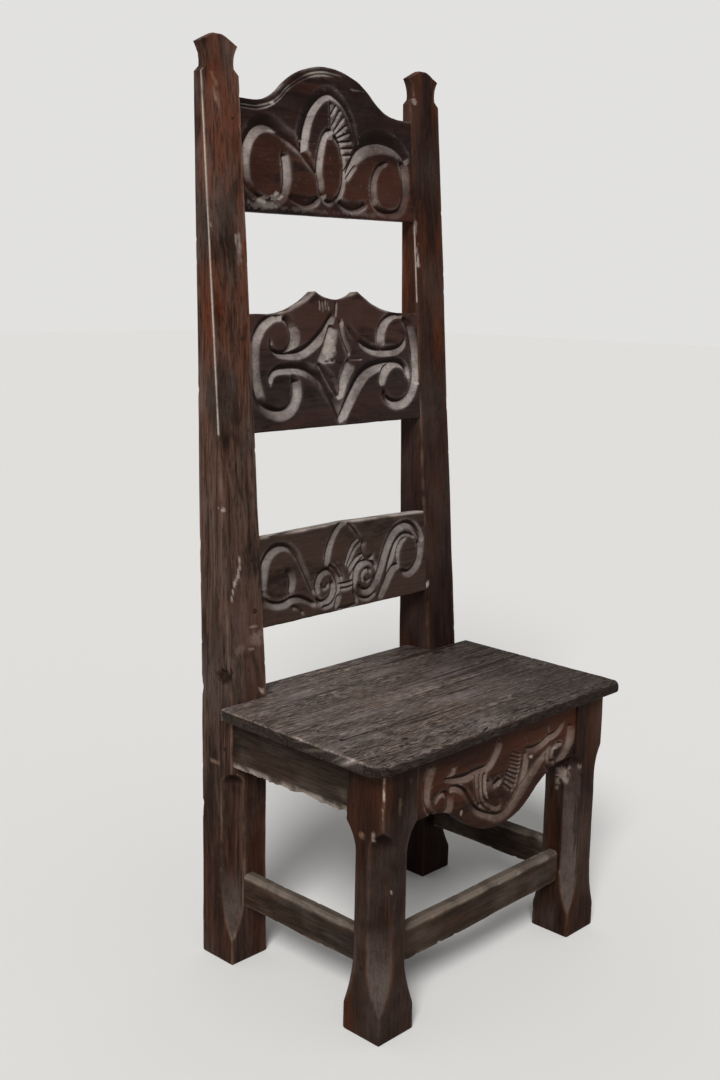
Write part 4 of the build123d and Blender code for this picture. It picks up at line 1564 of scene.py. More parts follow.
    def top_edge(self, ground: Ground, relief: Array, down: Array) -> Strip:
        """The edge on which dust lies, from the face to the back.

        Args:
            ground: the grid.
            relief: the face's depth over the grid.
            down: shares of the way from the face to the back.

        Returns:
            The edge.
        """
        start = relief[:, -1:]
        out = start + (-self.thickness - start) * down
        inset = -1.2 * np.maximum(0.0, (down - 0.8) / 0.2) ** 2
        places = self.face.spot(ground.x[:, -1:], ground.high + inset, out)
        patchy = unit(0.6 + rough(places, (30, 6, 9), self.seed + 6))
        return Strip(places, patchy * self.top_wear * (1 - 0.6 * down), patchy * self.top_dust,
                     np.zeros_like(out), patchy * self.top_chalk * 0.6)

    def back(self, ground: Ground, shares: Array) -> Strip:
        """The plain back, with the shallow hollows of an adze.

        Args:
            ground: the carved face's grid.
            shares: shares of the half length, one for each station.

        Returns:
            The back, from its upper edge down.
        """
        rows = 26
        z = ground.low + (ground.high - ground.low) * np.linspace(1, 0, rows)[1:-1]
        x = self.across(shares, z)
        spot = np.stack([x, np.zeros_like(x), z], -1)
        adzed = -self.thickness + 0.7 * rough(spot, (50, 9, 22), self.seed + 7, 2)
        patchy = np.clip(0.25 + 0.4 * rough(spot, (60, 9, 40), self.seed + 3), 0, 0.7)
        return Strip(self.face.spot(x, z, adzed), patchy * 0.1, patchy * 0.18,
                     np.zeros_like(z), np.zeros_like(z))

    def bottom_edge(self, ground: Ground, relief: Array, up: Array) -> Strip:
        """The lower edge, from the back to the face, with a little painted shade.

        Args:
            ground: the grid.
            relief: the face's depth over the grid.
            up: shares of the way from the face to the back.

        Returns:
            The edge.
        """
        start = relief[:, :1]
        out = start + (-self.thickness - start) * up
        # A little painted shade on the edge that faces down.
        return Strip(self.face.spot(ground.x[:, :1], ground.low, out), np.full_like(out, 0.1),
                     np.zeros_like(out), np.full_like(out, 0.3), np.zeros_like(out))

    def build(self) -> bpy.types.Object:
        """Builds the board and puts its finish on.

        Returns:
            The dressed board.
        """
        shares = np.linspace(-1, 1, int(2 * (CROSS_REACH - 1) / self.step))
        ground = self.lay_out(shares)
        face, relief = self.front(ground)
        down = np.linspace(0, 1, max(3, round(self.thickness / 2.4)) + 1)[1:]
        strips = (face, self.top_edge(ground, relief, down), self.back(ground, shares),
                  self.bottom_edge(ground, relief, down[::-1]))
        fields = {label: np.concatenate([getattr(strip, label) for strip in strips], axis=1)
                  for label in ("wear", "dust", "hollow_and_shade", "chalk")}
        skin = np.concatenate([strip.places for strip in strips], axis=1)
        piece = wrap_grid(self.name + "_carved", skin, fields)
        return self.finish.fit(piece, self.name, Grain.ACROSS, self.seed)


def crest_cuts() -> list[Cut]:
    """The crest: two oval volutes, leaf lobes, an almond and a fluted palmette.

    Returns:
        The cuts, in the order in which they are made.
    """
    cuts = [
        Cut(((-62, 1227), (-61, 1240), (-56, 1260), (-49, 1278), (-41, 1292), (-29, 1305), (-14, 1316),
             (2, 1320), (16, 1315), (30, 1305), (42, 1290), (51, 1272), (58, 1252), (61, 1238)),
            (14, 18, 18, 16, 14, 11, 8, 7, 7), (11, 11, 10, 8, 7, 5, 3, 3),
            (6, 6, 6, 5.5, 4, 2.6, 2.4, 2.4), 3.0),
        Cut(((0, 1262), (0, 1285), (0, 1312)), 1.2, 8.0, 2.2),
        Cut(((20, 1200), (30, 1214), (44, 1232)), 2.5, (5, 14, 14), 3.4),
        Cut(((26, 1195), (38, 1207), (53, 1221)), 2.0, 6.0, 3.4),
        Cut(((-62, 1229), (-45, 1213), (-28, 1197)), 4.0, 7.0, 4.0),
        Cut(((-30, 1199), (-45, 1214), (-62, 1230), (-80, 1241), (-102, 1250), (-118, 1260),
             (-138, 1264), (-160, 1255), (-177, 1232), (-182, 1206), (-177, 1182), (-161, 1165),
             (-142, 1158), (-122, 1159), (-108, 1168), (-102, 1184), (-101, 1205), (-104, 1226)),
            (6, 8, 9, 9, 12, 13, 13, 12, 7, 4, 4, 5, 5), (4, 10, 16, 18, 16, 12, 6, 8, 12, 14, 14, 12),
            6.0, 4.0),
        Cut(((-94, 1164), (-80, 1157), (-60, 1152), (-42, 1156), (-30, 1166)), (8, 14, 18, 14, 8),
            (4, 5, 5, 4), 5.0),
        Cut(((5, 1267), (-8, 1266), (-19, 1254), (-28, 1230), (-32, 1207), (-29, 1188), (-26, 1172),
             (-14, 1160), (0, 1160)), (7, 8, 11, 11, 10, 8, 5), (4, 4, 5, 4, 3), 5.5),
        Cut(((5, 1262), (18, 1248), (25, 1224), (25, 1205), (21, 1185), (12, 1170), (0, 1161)),
            4.0, 5.0, 4.5),
        Cut(((26, 1200), (40, 1220), (57, 1240), (80, 1252), (112, 1257), (142, 1252), (162, 1241),
             (172, 1228)),
            (2, 6, 18, 22, 22, 18, 12), (3, 12, 17, 18, 16, 12, 5), (3, 5.5, 5.5, 5, 4), 8.0),
        Cut(((124, 1229), (106, 1222), (93, 1206), (87, 1186), (90, 1166), (104, 1153), (128, 1150),
             (150, 1157), (161, 1175), (163, 1198), (161, 1218), (154, 1234)),
            (5, 9, 11, 10, 6, 5, 5, 5, 4), (3, 4, 4, 6, 8, 12, 14, 15, 13), 6.0, 8.0),
        Cut(((8, 1162), (24, 1154), (42, 1150), (60, 1154), (74, 1161)), (8, 12, 15, 12, 8),
            (4, 5, 5, 4), 4.5),
    ]
    bases = ((3, 1285), (5, 1270), (8, 1262), (12, 1258), (12, 1252), (15, 1247), (18, 1238), (20, 1228))
    tips = ((17, 1303), (26, 1297), (33, 1287), (38, 1275), (43, 1264), (48, 1252), (53, 1242), (55, 1232))
    cuts += [Cut(((base[0] - 2, base[1] + 4), (tip[0] - 4, tip[1] + 3)), 1.8, 4.2, 3.0, 3.0)
             for base, tip in zip(bases, tips)]
    cuts += [Cut(((-62, 1247), (-40, 1246), (-22, 1248)), 0.8, 0.8, 0.8, 2.0)]
    return cuts


def middle_cuts() -> list[Cut]:
    """The middle rail: C-scrolls with round eyes whose arms meet at a four-pointed star.

    Returns:
        The cuts, in the order in which they are made.
    """
    return [
        Cut(((-118, 986), (-138, 988), (-162, 976), (-178, 954), (-183, 925), (-182, 895),
             (-174, 868), (-158, 854), (-138, 848), (-120, 850), (-107, 860), (-101, 876), (-104, 896)),
            (6, 11, 14, 15, 15, 14, 8, 4, 4, 4), (9, 8, 6, 5, 5, 6, 12, 15, 17, 17, 15), 6.5, 8.0),
        Cut(((-120, 985), (-108, 978), (-102, 964), (-103, 950), (-112, 938), (-122, 934)),
            (6, 14, 19, 18, 12, 8), (3, 4, 4, 4), 6.0),
        Cut(((-146, 954), (-144, 943), (-136, 935), (-121, 932), (-90, 933), (-71, 939), (-52, 950),
             (-33, 965), (-22, 977), (-10, 992)), (3, 6, 9, 9, 9, 8), (2, 7, 11, 12, 12, 10), 6.5, 12.0),
        Cut(((-150, 888), (-148, 899), (-138, 907), (-120, 910), (-86, 909), (-62, 901), (-38, 884),
             (-20, 862), (-8, 840), (0, 822)), (4, 8, 11, 12, 14, 17, 16, 10), (5, 8, 10, 12, 13, 13, 10),
            6.5, 8.0),
        Cut(((-6, 826), (10, 850), (24, 868), (44, 891), (66, 904), (96, 911), (130, 912), (148, 906),
             (156, 894), (158, 882)), (6, 8, 12, 12, 10, 10, 8, 5), (12, 15, 15, 13, 10, 7, 3), 6.5, 12.0),
        Cut(((153, 952), (149, 941), (138, 935), (120, 932), (94, 932), (72, 935), (51, 944),
             (34, 957), (18, 974)), (3, 10, 11, 9, 7, 5), (5, 8, 9, 8, 7), (5.5, 5.5, 5, 4, 3.5), 12.0),
        Cut(((150, 984), (138, 988), (122, 987), (104, 979), (92, 966), (89, 948), (95, 934),
             (108, 930)), (3, 5, 9, 15, 17, 14, 9), (6, 7, 5, 4, 4), 6.0, 8.0),
        Cut(((140, 911), (122, 912), (104, 906), (93, 893), (90, 876)),
            (5, 9, 14, 15, 12), (5, 5, 4, 4), 6.0, 8.0),
        Cut(((148, 985), (158, 976), (167, 958), (172, 930), (173, 903), (171, 884), (162, 864), (146, 852),
             (126, 849), (108, 856), (97, 870)), (3, 13, 15, 15, 13, 14, 15, 15, 14, 9),
            (8, 8, 6, 5, 4, 4), 6.5, 8.0),
        Cut(((-49, 918), (-33, 943), (-15, 977)), 4.0, (16, 26, 16), 6.5),
        Cut(((-48, 918), (-24, 884), (-3, 858)), (8, 16, 6), 3.0, 5.0),
        Cut(((20, 922), (2, 894), (-4, 860)), (22, 19, 8), 3.0, 6.0),
        Cut(((0, 982), (9, 950), (22, 923)), 7.0, 2.0, 3.0),
        Cut(((-48, 918), (-30, 918), (-11, 918)), 1.5, 2.5, 2.0),
        Cut(((20, 921), (35, 920), (52, 920)), 2.0, 1.5, 2.0),
        Cut(((-3, 1012), (-5, 996), (-7, 984)), 3.0, 3.5, 2.0),
        Cut(((-40, 996), (-36, 1012)), 1.5, 1.5, 1.0, 2.0),
        Cut(((-33, 996), (-29, 1013)), 1.5, 1.5, 1.0, 2.0),
        Cut(((-26, 997), (-22, 1013)), 1.5, 1.5, 1.0, 2.0),
    ]


def lower_cuts() -> list[Cut]:
    """The lower rail: S-scrolls that end in round volutes, beside a pointed leaf.

    Returns:
        The cuts, in the order in which they are made.
    """
    return [
        Cut(((-186, 578), (-185, 600), (-179, 622), (-164, 638), (-145, 643), (-126, 638), (-112, 625),
             (-102, 608), (-93, 590), (-83, 571), (-75, 557)), (6, 8, 8, 7, 7, 6),
            (11, 13, 11, 7, 4, 4, 4), 5.5, 8.0),
        Cut(((-136, 606), (-128, 596), (-126, 583), (-131, 570)), (12, 13, 10), 4.0, 5.0, 8.0),
        Cut(((-186, 584), (-178, 567), (-162, 558), (-142, 556), (-126, 560), (-110, 559), (-95, 553),
             (-82, 546), (-73, 541)), (4, 4, 5, 5, 5), (9, 11, 10, 10, 9, 7, 5), 5.5, 8.0),
        Cut(((-128, 547), (-114, 543), (-100, 531)), 4.0, 5.0, 3.0),
        Cut(((-74, 554), (-63, 545), (-50, 547), (-41, 555), (-38, 566), (-41, 577)), (3, 4, 4),
            (7, 9, 9, 9, 7), 5.0, 8.0),
        Cut(((-69, 556), (-72, 572), (-64, 587), (-49, 593), (-36, 588), (-27, 576), (-25, 560),
             (-32, 545), (-45, 536), (-62, 536)), (5, 5, 5, 4), (7, 8, 8, 6, 3, 3, 3), 5.0, 8.0),
        Cut(((-61, 573), (-57, 566), (-50, 566), (-47, 573)), 3.0, 4.0, 3.4, 4.0),
        Cut(((122, 576), (116, 590), (119, 606), (130, 618), (142, 622)), 4.0, (4, 6, 6, 4), 4.5, 8.0),
        Cut(((60, 552), (66, 566), (75, 583), (83, 599), (92, 615), (104, 631), (120, 642), (141, 646),
             (159, 640), (172, 627), (182, 608)), (4, 6, 6, 6, 5), (11, 11, 11, 11, 10, 9), 5.5, 8.0),
        Cut(((88, 560), (98, 583), (108, 603), (119, 618), (134, 627), (150, 626), (164, 618)),
            (8, 9, 9, 8, 5, 3), (4, 5, 6, 4), (4, 5, 5, 4, 3), 8.0),
        Cut(((168, 616), (172, 600), (168, 583), (158, 570), (142, 563), (124, 568)),
            (11, 12, 12, 11, 8), 5.0, 5.0, 8.0),
        Cut(((124, 577), (108, 578), (95, 567), (84, 552), (74, 538), (66, 530)), (9, 12, 12, 10),
            (5, 6, 5), 5.0, 8.0),
        Cut(((13, 560), (15, 580), (26, 593), (42, 596), (58, 590), (67, 576)), 4.0,
            (8, 9, 8, 6, 4), 5.0, 8.0),
        Cut(((60, 572), (58, 558), (46, 549), (32, 551), (23, 562)), (10, 11, 10, 8), (4, 4, 3), 5.0, 8.0),
        Cut(((33, 560), (30, 572), (36, 581), (47, 582), (53, 573)), 3.0, (5, 6, 5), 4.0, 6.0),
        Cut(((36, 569), (42, 562), (50, 565)), 4.0, 3.0, 3.0, 4.0),
        Cut(((12, 566), (14, 552), (26, 538), (45, 534), (62, 541)), 3.0, 5.0, 3.5, 6.0),
        Cut(((-50, 601), (-46, 620), (-38, 636), (-26, 652), (-12, 662), (2, 665)), 5.0,
            (9, 9, 8, 6, 4), 5.5, 3.0),
        Cut(((2, 661), (15, 651), (27, 637), (36, 624)), 4.0, 2.5, 3.0, 3.0),
        Cut(((-7, 595), (1, 612), (13, 628), (26, 635)), 2.0, 5.0, 3.4, 3.0),
        Cut(((-2, 592), (8, 609), (20, 622), (32, 628)), 2.0, 5.0, 3.4, 3.0),
        Cut(((0, 586), (12, 598), (24, 606), (36, 608)), 2.5, 6.0, 4.0, 3.0),
        Cut(((2, 572), (12, 584), (24, 596), (36, 602)), 2.5, 4.0, 3.4, 3.0),
        Cut(((38, 632), (34, 618), (40, 602), (52, 597), (60, 604)), (9, 11, 9), 3.0, 4.0, 8.0),
        Cut(((-42, 601), (-28, 590), (-14, 574)), 3.0, 5.0, 4.5, 3.0),
        Cut(((-30, 604), (-18, 590), (-10, 572)), 2.0, 2.0, 1.6, 4.0),
        Cut(((-46, 598), (-36, 588), (-28, 580)), 4.0, 4.0, 3.0, 4.0),
        Cut(((-24, 567), (-8, 566), (11, 567)), 3.0, 4.0, 3.0, 2.0),
        Cut(((-20, 559), (-5, 558), (9, 559)), 3.0, 4.0, 3.0, 2.0),
        Cut(((-33, 528), (-29, 540), (-22, 553)), 4.0, 9.0, 4.0),
        Cut(((18, 528), (15, 540), (9, 553)), 5.0, 4.0, 4.0),
        Cut(((-30, 527), (-8, 525), (16, 527)), 7.0, 2.0, 2.6),
    ]


def apron_cuts() -> list[Cut]:
    """The apron: side volutes whose arms hang round a fluted shell.

    Returns:
        The cuts, in the order in which they are made.
    """
    cuts = [
        Cut(((-158, 386), (-168, 372), (-171, 352), (-170, 338), (-166, 325), (-158, 314), (-148, 308)),
            (13, 16, 12, 8, 7, 6), 3.0, 5.5),
        Cut(((-128, 359), (-116, 363), (-109, 372)), 2.0, (3, 9, 6), 4.0, 3.0),
        Cut(((-131, 357), (-115, 353), (-100, 350), (-80, 348), (-62, 350), (-48, 351), (-36, 352),
             (-26, 358), (-18, 367), (-11, 377), (-5, 385)), (4, 7, 9, 9, 7, 4, 4, 4),
            (3, 5, 6, 8, 8, 9, 11, 12, 10), 5.5),
        Cut(((-150, 328), (-143, 336), (-132, 338), (-123, 332), (-119, 322), (-121, 312), (-130, 306)),
            (2, 3, 4, 9, 12, 13, 9), 5.0, 5.0, 4.0),
        Cut(((-120, 342), (-105, 340), (-93, 335), (-82, 327), (-73, 316), (-64, 304), (-56, 294),
             (-45, 286), (-33, 280), (-20, 274), (-5, 269), (5, 268), (15, 271), (27, 279), (42, 291),
             (56, 303), (68, 313), (80, 322), (93, 331), (108, 338), (122, 345)), 4.0,
            (7, 9, 10, 10, 10, 9, 9, 10, 12, 14, 17, 18, 18, 16, 15, 13, 10), 5.5),
        Cut(((-60, 352), (-60, 335), (-58, 318), (-53, 302), (-45, 291)), (4, 7, 7, 5), 2.0, 3.4),
        Cut(((-50, 348), (-50, 330), (-48, 310), (-43, 297), (-33, 286), (-20, 277), (-6, 271)), 4.0,
            2.0, 3.0),
        Cut(((-38, 345), (-39, 325), (-36, 308), (-28, 296), (-15, 286), (0, 278)), 4.0, 6.0, 4.4),
        Cut(((-32, 332), (-29, 312), (-22, 297), (-10, 284), (2, 276)), (5, 12, 15, 14, 8), 2.5, 4.4),
        Cut(((-19, 317), (-8, 317), (2, 322)), (8, 14, 10), 3.0, 4.6, 4.0),
        Cut(((57, 353), (57, 336), (54, 319), (50, 307), (43, 298)), (6, 10, 10, 9, 7), 4.0, 5.0),
        Cut(((58, 357), (75, 352), (90, 352), (105, 356), (118, 361), (132, 362), (145, 368),
             (154, 377)), (5, 7, 6, 5), (5, 8, 8, 8, 8, 7, 6), 5.0),
        Cut(((114, 382), (115, 370), (119, 360)), 3.0, 5.0, 2.6),
        Cut(((114, 337), (112, 324), (117, 312), (128, 303), (139, 301)), (5, 8, 9, 9, 7), 4.0, 5.0),
        Cut(((154, 341), (140, 344), (127, 339), (123, 329), (126, 319), (136, 314)), 6.0,
            (3, 3, 4, 4), 4.0),
        Cut(((170, 370), (169, 350), (165, 338), (157, 328), (147, 320), (137, 316)),
            (9, 16, 18, 16, 12, 8), 4.0, 5.5),
    ]
    starts = ((24, 360), (20, 354), (18, 348), (17, 343), (15, 338), (12, 333), (10, 328), (8, 322),
              (6, 316))
    ends = ((48, 349), (48, 343), (47, 337), (46, 331), (45, 325), (43, 318), (41, 311), (38, 304),
            (31, 297))
    cuts += [Cut((start, end), 1.8, 3.6, 3.0, 3.0) for start, end in zip(starts, ends)]
    return cuts


CREST_PATCHES = (
    Patch(-120, 1296, 5, 3), Patch(-118, 1163, 12, 5, 0.8), Patch(-145, 1157, 10, 5, 0.6),
    Patch(-20, 1166, 5, 6, 0.6), Patch(-60, 1247, 10, 1.5, 0.5), Patch(-4, 1257, 8, 4, 0.5),
    Patch(-125, 1256, 10, 2, 0.6), Patch(95, 1165, 8, 5, 0.3), Patch(60, 1333, 12, 1.5, 0.25),
    Patch(-150, 1149, 32, 6, 0.2), Patch(-60, 1146, 45, 4, 0.12), Patch(60, 1146, 50, 4, 0.12),
)
MIDDLE_PATCHES = (
    Patch(-40, 1004, 1.2, 7, 0.7), Patch(-33, 1003, 1.0, 8, 0.6), Patch(-27, 1005, 1.0, 6, 0.6),
    Patch(-20, 1000, 1.2, 5, 0.5), Patch(8, 976, 5, 5, 0.6), Patch(180, 876, 7, 3, 0.9),
    Patch(-4, 862, 4, 5, 0.4), Patch(-95, 968, 7, 5, 0.3), Patch(-21, 938, 13, 19, 0.6),
)
APRON_PATCHES = (Patch(73, 340, 5, 3), Patch(-90, 296, 3, 4, 0.5), Patch(135, 337, 6, 2, 0.4))
LEFT_LEG_MARKS = (
    Blemish((-257, -189, 400), (1.5, 1.5, 4), (-256, -188, 334), depth=0.6, worn=1.0, chalky=0.7),
    Blemish((-258, -171, 305), (3, 3, 8), depth=0.5, worn=1.0, chalky=0.3),
    Blemish((-238, -190, 236), (3.5, 3, 8), depth=0.8, worn=1.0, chalky=0.7),
    Blemish((-236, -190, 222), (2.5, 3, 4), depth=0.5, worn=1.0, chalky=0.8),
    Blemish((-258, -150, 300), (3, 5, 4), depth=0.8, worn=0.9),
    Blemish((-225, -190, 345), (3, 3, 12), depth=0.4, worn=0.5),
)
RIGHT_LEG_MARKS = (
    Blemish((189, -168, 276), (6, 12, 15), depth=2.0, worn=0.9, chalky=0.3),
    Blemish((188, -160, 262), (4, 3, 12), depth=1.0, worn=0.9, chalky=0.5),
    Blemish((196, -188, 290), (8, 5, 8), depth=1.2, worn=0.7, chalky=0.25),
    Blemish((188, -178, 289), (5, 6, 5), depth=3.0, dark=1.0),
)
LEFT_POST_MARKS = (
    Blemish((-258, 138, 461), (12, 18, 10.5), depth=4.5, dark=1.0),
    Blemish((-256, 134, 459), (9, 9, 8), depth=0.5, dark=1.0),
    Blemish((-196, 122, 430), (7, 6, 5), depth=1.0, worn=0.9, chalky=0.6),
    Blemish((-205, 128, 512), (19, 7, 12), worn=0.35, chalky=0.14),
    Blemish((-232, 128, 500), (12, 7, 8), worn=0.3, chalky=0.06),
    Blemish((-208, 128, 530), (10, 7, 2), chalky=0.4), Blemish((-214, 126, 498), (8, 7, 2), chalky=0.4),
    Blemish((-228, 139, 636), (1.8, 6, 3), (-231, 137, 612), depth=0.3, chalky=0.8),
    Blemish((-240, 136, 600), (1.8, 6, 3), (-247, 134, 577), depth=0.3, chalky=0.8),
    Blemish((-231, 137, 612), (2, 6, 3), (-240, 136, 600), depth=0.3, chalky=0.6),
    Blemish((-254, 145, 712), (5, 8, 2), depth=0.3, chalky=0.9),
    Blemish((-250, 168, 1118), (7, 7, 2), (-240, 168, 1122), chalky=0.5),
    Blemish((-251, 168, 1116), (4, 7, 4), chalky=0.9),
    Blemish((-198, 170, 1100), (5, 7, 6), (-200, 168, 1068), worn=0.3, chalky=0.2),
    Blemish((-198, 170, 1104), (1.6, 7, 5), (-196, 168, 1074), chalky=0.5),
    Blemish((-204, 170, 1100), (1.4, 7, 4), (-203, 168, 1080), chalky=0.45),
    Blemish((-234, 190, 1325), (3, 7, 5), (-230, 186, 1290), depth=0.5, worn=1.0),
    Blemish((-226, 187, 1315), (2, 7, 4), (-224, 184, 1280), depth=0.4, worn=0.8),
    Blemish((-254, 185, 1338), (6, 14, 5), depth=0.4, worn=0.6, chalky=0.3),
    Blemish((-258, 160, 322), (5, 12, 3), depth=0.4, worn=0.6),
    Blemish((-205, 121, 330), (16, 5, 3), depth=0.4, worn=0.5, chalky=0.2),
)
RIGHT_POST_MARKS = (
    Blemish((189, 168, 1134), (4, 8, 5), (190, 166, 1070), chalky=0.75),
    Blemish((187, 175, 1128), (4, 14, 12), worn=0.3, chalky=0.25),
    Blemish((190, 130, 536), (4, 8, 6), depth=0.5, chalky=0.7),
    Blemish((195, 192, 1330), (8, 10, 5), worn=0.7, chalky=0.4),
)


# ---------------------------------------------------------------- pegs
@dataclass
class PegSet:
    """The pegs of one kind of joint, each riven eight-sided. Sizes are in millimetres."""

    name: str
    seed: int
    worn_head: float = 0.7
    unevenness: float = 0.22
    wear: float = 0.12
    dust: float = 0.1

    def build(self) -> bpy.types.Object:
        """Copies the solid pegs, merges them, rounds their heads and roughens them a little.

        Returns:
            The dressed pegs.
        """
        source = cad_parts[self.name]
        deselect()
        piece = bpy.data.objects.new(self.name + "_riven", source.data.copy())
        bpy.context.scene.collection.objects.link(piece)
        make_active(piece)
        bpy.ops.object.mode_set(mode="EDIT")
        bpy.ops.mesh.select_all(action="SELECT")
        bpy.ops.mesh.remove_doubles(threshold=1e-5)
        bpy.ops.mesh.tris_convert_to_quads()
        bpy.ops.mesh.dissolve_limited(angle_limit=math.radians(2))
        bpy.ops.object.mode_set(mode="OBJECT")
        bevel = piece.modifiers.new("worn_head", "BEVEL")
        bevel.width = self.worn_head * MM
        bevel.segments = 2
        bpy.ops.object.modifier_apply(modifier="worn_head")
        places = np.zeros(len(piece.data.vertices) * 3)
        piece.data.vertices.foreach_get("co", places)
        places = places.reshape(-1, 3)
        moves = [rough(places / MM, (5, 5, 5), self.seed + axis) for axis in range(3)]
        places += self.unevenness * MM * np.stack(moves, -1)
        piece.data.vertices.foreach_set("co", places.astype(np.float32).ravel())
        piece.data.update()
        for label, value in (("wear", self.wear), ("dust", self.dust), ("hollow_and_shade", 0.0)):
            paint(piece, label, np.full(len(places), value))
        bpy.ops.object.shade_smooth_by_angle(angle=math.radians(35))
        return PEG_OAK.fit(piece, self.name, Grain.UPRIGHT, self.seed)


# ---------------------------------------------------------------- room, light and camera
@dataclass
class Studio:
    """A pale floor, a broad soft lamp from the upper left, even light all round and the camera."""

    floor_colour: Colour = (0.80, 0.79, 0.77)
    floor_size: float = 40.0
    sky_colour: Colour = (0.76, 0.755, 0.745)
    sky_light: float = 0.30
    key_power: float = 3.1
    key_breadth: float = 20.0
    key_from: Place = (-0.63, -0.45, 0.64)
    eye: Place = (-1.48046, -1.30865, 1.04269)
    yaw: float = -0.8066007
    pitch: float = -0.1942791
    roll: float = 0.0182163
    sensor: float = 36.0
    focal_share: float = 1318.2 / 1080.0

    def build(self) -> None:
        """Sets up the floor, light, world and camera."""
        self.lay_floor()
        self.hang_lamp()
        self.light_room()
        self.set_camera()

    def lay_floor(self) -> None:
        """A wide pale floor that takes the chair's shadow."""
        deselect()
        bpy.ops.mesh.primitive_plane_add(size=self.floor_size)
        floor = bpy.context.object
        floor.name = "floor"
        wires = Wires("pale_floor")
        wires.shader.inputs["Base Color"].default_value = (*self.floor_colour, 1)
        wires.shader.inputs["Roughness"].default_value = 0.9
        wires.shader.inputs["Specular IOR Level"].default_value = 0.1
        floor.data.materials.append(wires.material)

    def hang_lamp(self) -> None:
        """One broad, even light from the upper left."""
        lamp = bpy.data.lights.new("key", "SUN")
        lamp.angle = math.radians(self.key_breadth)
        lamp.energy = self.key_power
        key = bpy.data.objects.new("key", lamp)
        bpy.context.scene.collection.objects.link(key)
        key.location = Vector(self.key_from)
        key.rotation_euler = (-key.location).to_track_quat("-Z", "Y").to_euler()

    def light_room(self) -> None:
        """Even light from all round, and a pale backdrop for the camera, glass and polish."""
        world = bpy.data.worlds.new("room")
        bpy.context.scene.world = world
        world.use_nodes = True
        tree = world.node_tree
        tree.nodes.clear()
        lit, seen = (tree.nodes.new("ShaderNodeBackground") for _ in range(2))
        for background, colour, strength in ((lit, (1.0, 1.0, 1.0), self.sky_light),
                                             (seen, self.sky_colour, 1.0)):
            background.inputs["Color"].default_value = (*colour, 1)
            background.inputs["Strength"].default_value = strength
        rays = tree.nodes.new("ShaderNodeLightPath")
        shows = rays.outputs["Is Camera Ray"]
        for label in ("Is Transmission Ray", "Is Glossy Ray"):
            either = tree.nodes.new("ShaderNodeMath")
            either.operation = "MAXIMUM"
            tree.links.new(shows, either.inputs[0])
            tree.links.new(rays.outputs[label], either.inputs[1])
            shows = either.outputs[0]
        mix = tree.nodes.new("ShaderNodeMixShader")
        for index, source in enumerate((shows, lit.outputs[0], seen.outputs[0])):
            tree.links.new(source, mix.inputs[index])
        out = tree.nodes.new("ShaderNodeOutputWorld")
        tree.links.new(mix.outputs[0], out.inputs[0])

    def set_camera(self) -> None:
        """The camera at the viewing angle."""
        data = bpy.data.cameras.new("camera")
        camera = bpy.data.objects.new("camera", data)
        bpy.context.scene.collection.objects.link(camera)
        data.sensor_width = self.sensor
        data.lens = self.focal_share * self.sensor
        data.clip_end = 100
        forward = Vector((-math.sin(self.yaw) * math.cos(self.pitch),
                          math.cos(self.yaw) * math.cos(self.pitch), math.sin(self.pitch)))
        right = Vector((math.cos(self.yaw), math.sin(self.yaw), 0))
        up = right.cross(forward)
        across = math.cos(self.roll) * right + math.sin(self.roll) * up
        upward = -math.sin(self.roll) * right + math.cos(self.roll) * up
        turn = Matrix((across, upward, -forward)).transposed()
        camera.matrix_world = Matrix.Translation(self.eye) @ turn.to_4x4()
        bpy.context.scene.camera = camera
        bpy.context.scene.view_settings.view_transform = "Standard"


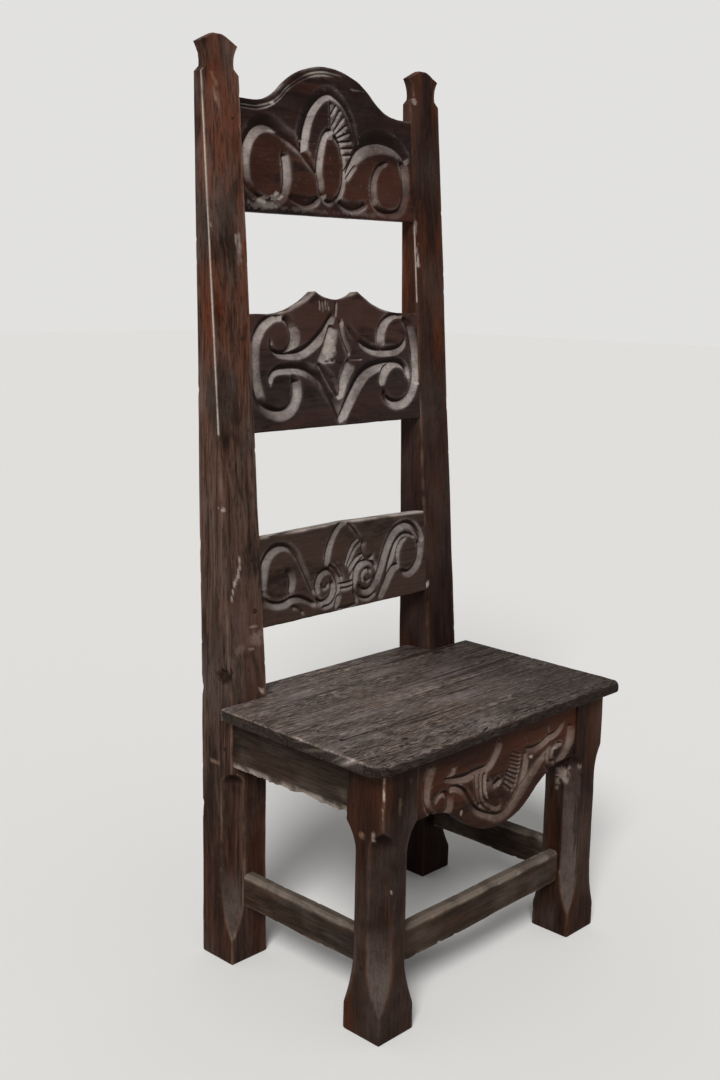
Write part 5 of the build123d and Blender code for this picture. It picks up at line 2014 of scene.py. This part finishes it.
# ---------------------------------------------------------------- the whole chair
def chair_pieces() -> list[Upright | Bar | SeatBoard | CarvedBoard | PegSet]:
    """Every piece of the chair.

    Returns:
        The pieces, in the order in which they are built.
    """
    pieces = [
        Upright("front_leg_left", -1, 1.0, blemishes=LEFT_LEG_MARKS),
        Upright("front_leg_right", 1, 2.0, bold=StopChamfer(14.0), blemishes=RIGHT_LEG_MARKS,
                facet_dust=0.6),
        RearPost("rear_post_left", -1, 3.0, bare_lines=((1, 820.0, 1330.0),),
                 blemishes=LEFT_POST_MARKS),
        RearPost("rear_post_right", 1, 4.0, bare_lines=((0, 1010.0, 1134.0),),
                 blemishes=RIGHT_POST_MARKS, finish=SHADED_POST_OAK, foot_shade=0.75),
        Bar("seat_rail_left", Grain.DEEP, -243.0, *SEAT_RAIL, 5.0, low_wear=1.0),
        Bar("seat_rail_right", Grain.DEEP, 243.0, *SEAT_RAIL, 6.0, low_wear=0.6),
        Bar("seat_rail_rear", Grain.ACROSS, 175.0, *SEAT_RAIL, 7.0, low_wear=0.4),
        Bar("stretcher_left", Grain.DEEP, -222.5, *STRETCHER, 8.0, top_arris=4.0),
        Bar("stretcher_right", Grain.DEEP, 222.5, *STRETCHER, 9.0, top_arris=4.0),
        Bar("stretcher_front", Grain.ACROSS, -154.5, *STRETCHER, 10.0, top_arris=4.0),
        SeatBoard("seat_front_board", -208.0, -28.3, 11.0, 5.0, (26.0, 11.0)),
        SeatBoard("seat_rear_board", -28.0, 172.0, 12.0, 1.2, (0.0, 0.0), notched=True, edge_wear=0.3),
        CarvedBoard("crest_rail", BACK_FACE, crest_cuts(), 13.0, 13.0, post_draw_in=POST_DRAW_IN,
                    dim_below=1146.0, dim_right=0.45, patches=CREST_PATCHES,
                    edge_lines=((8.0, -186.0, 30.0), (13.0, -186.0, 12.0))),
        CarvedBoard("middle_rail", BACK_FACE, middle_cuts(), 20.0, 14.0, post_draw_in=POST_DRAW_IN,
                    top_wear=0.9, top_chalk=0.5, patches=MIDDLE_PATCHES, finish=MIDDLE_OAK),
        CarvedBoard("lower_rail", BACK_FACE, lower_cuts(), 22.0, 15.0, post_draw_in=POST_DRAW_IN,
                    top_wear=1.0, top_chalk=1.1, finish=LOWER_OAK),
        CarvedBoard("front_apron", APRON_FACE, apron_cuts(), 24.0, 16.0, patches=APRON_PATCHES,
                    finish=APRON_OAK),
    ]
    peg_sets = ("crest_rail", "middle_rail", "lower_rail", "apron", "rear_seat_rail",
                "side_seat_rail", "side_stretcher", "front_stretcher", "seat")
    return pieces + [PegSet(f"{name}_pegs", 20 + index) for index, name in enumerate(peg_sets)]


def main() -> None:
    """Builds the chair piece by piece, then the room round it."""
    logging.basicConfig(level=logging.INFO, format="%(message)s")
    for maker in chair_pieces():
        piece = maker.build()
        LOG.info("%s: %d faces", piece.name, len(piece.data.polygons))
    Studio().build()


if __name__ == "__main__":
    main()
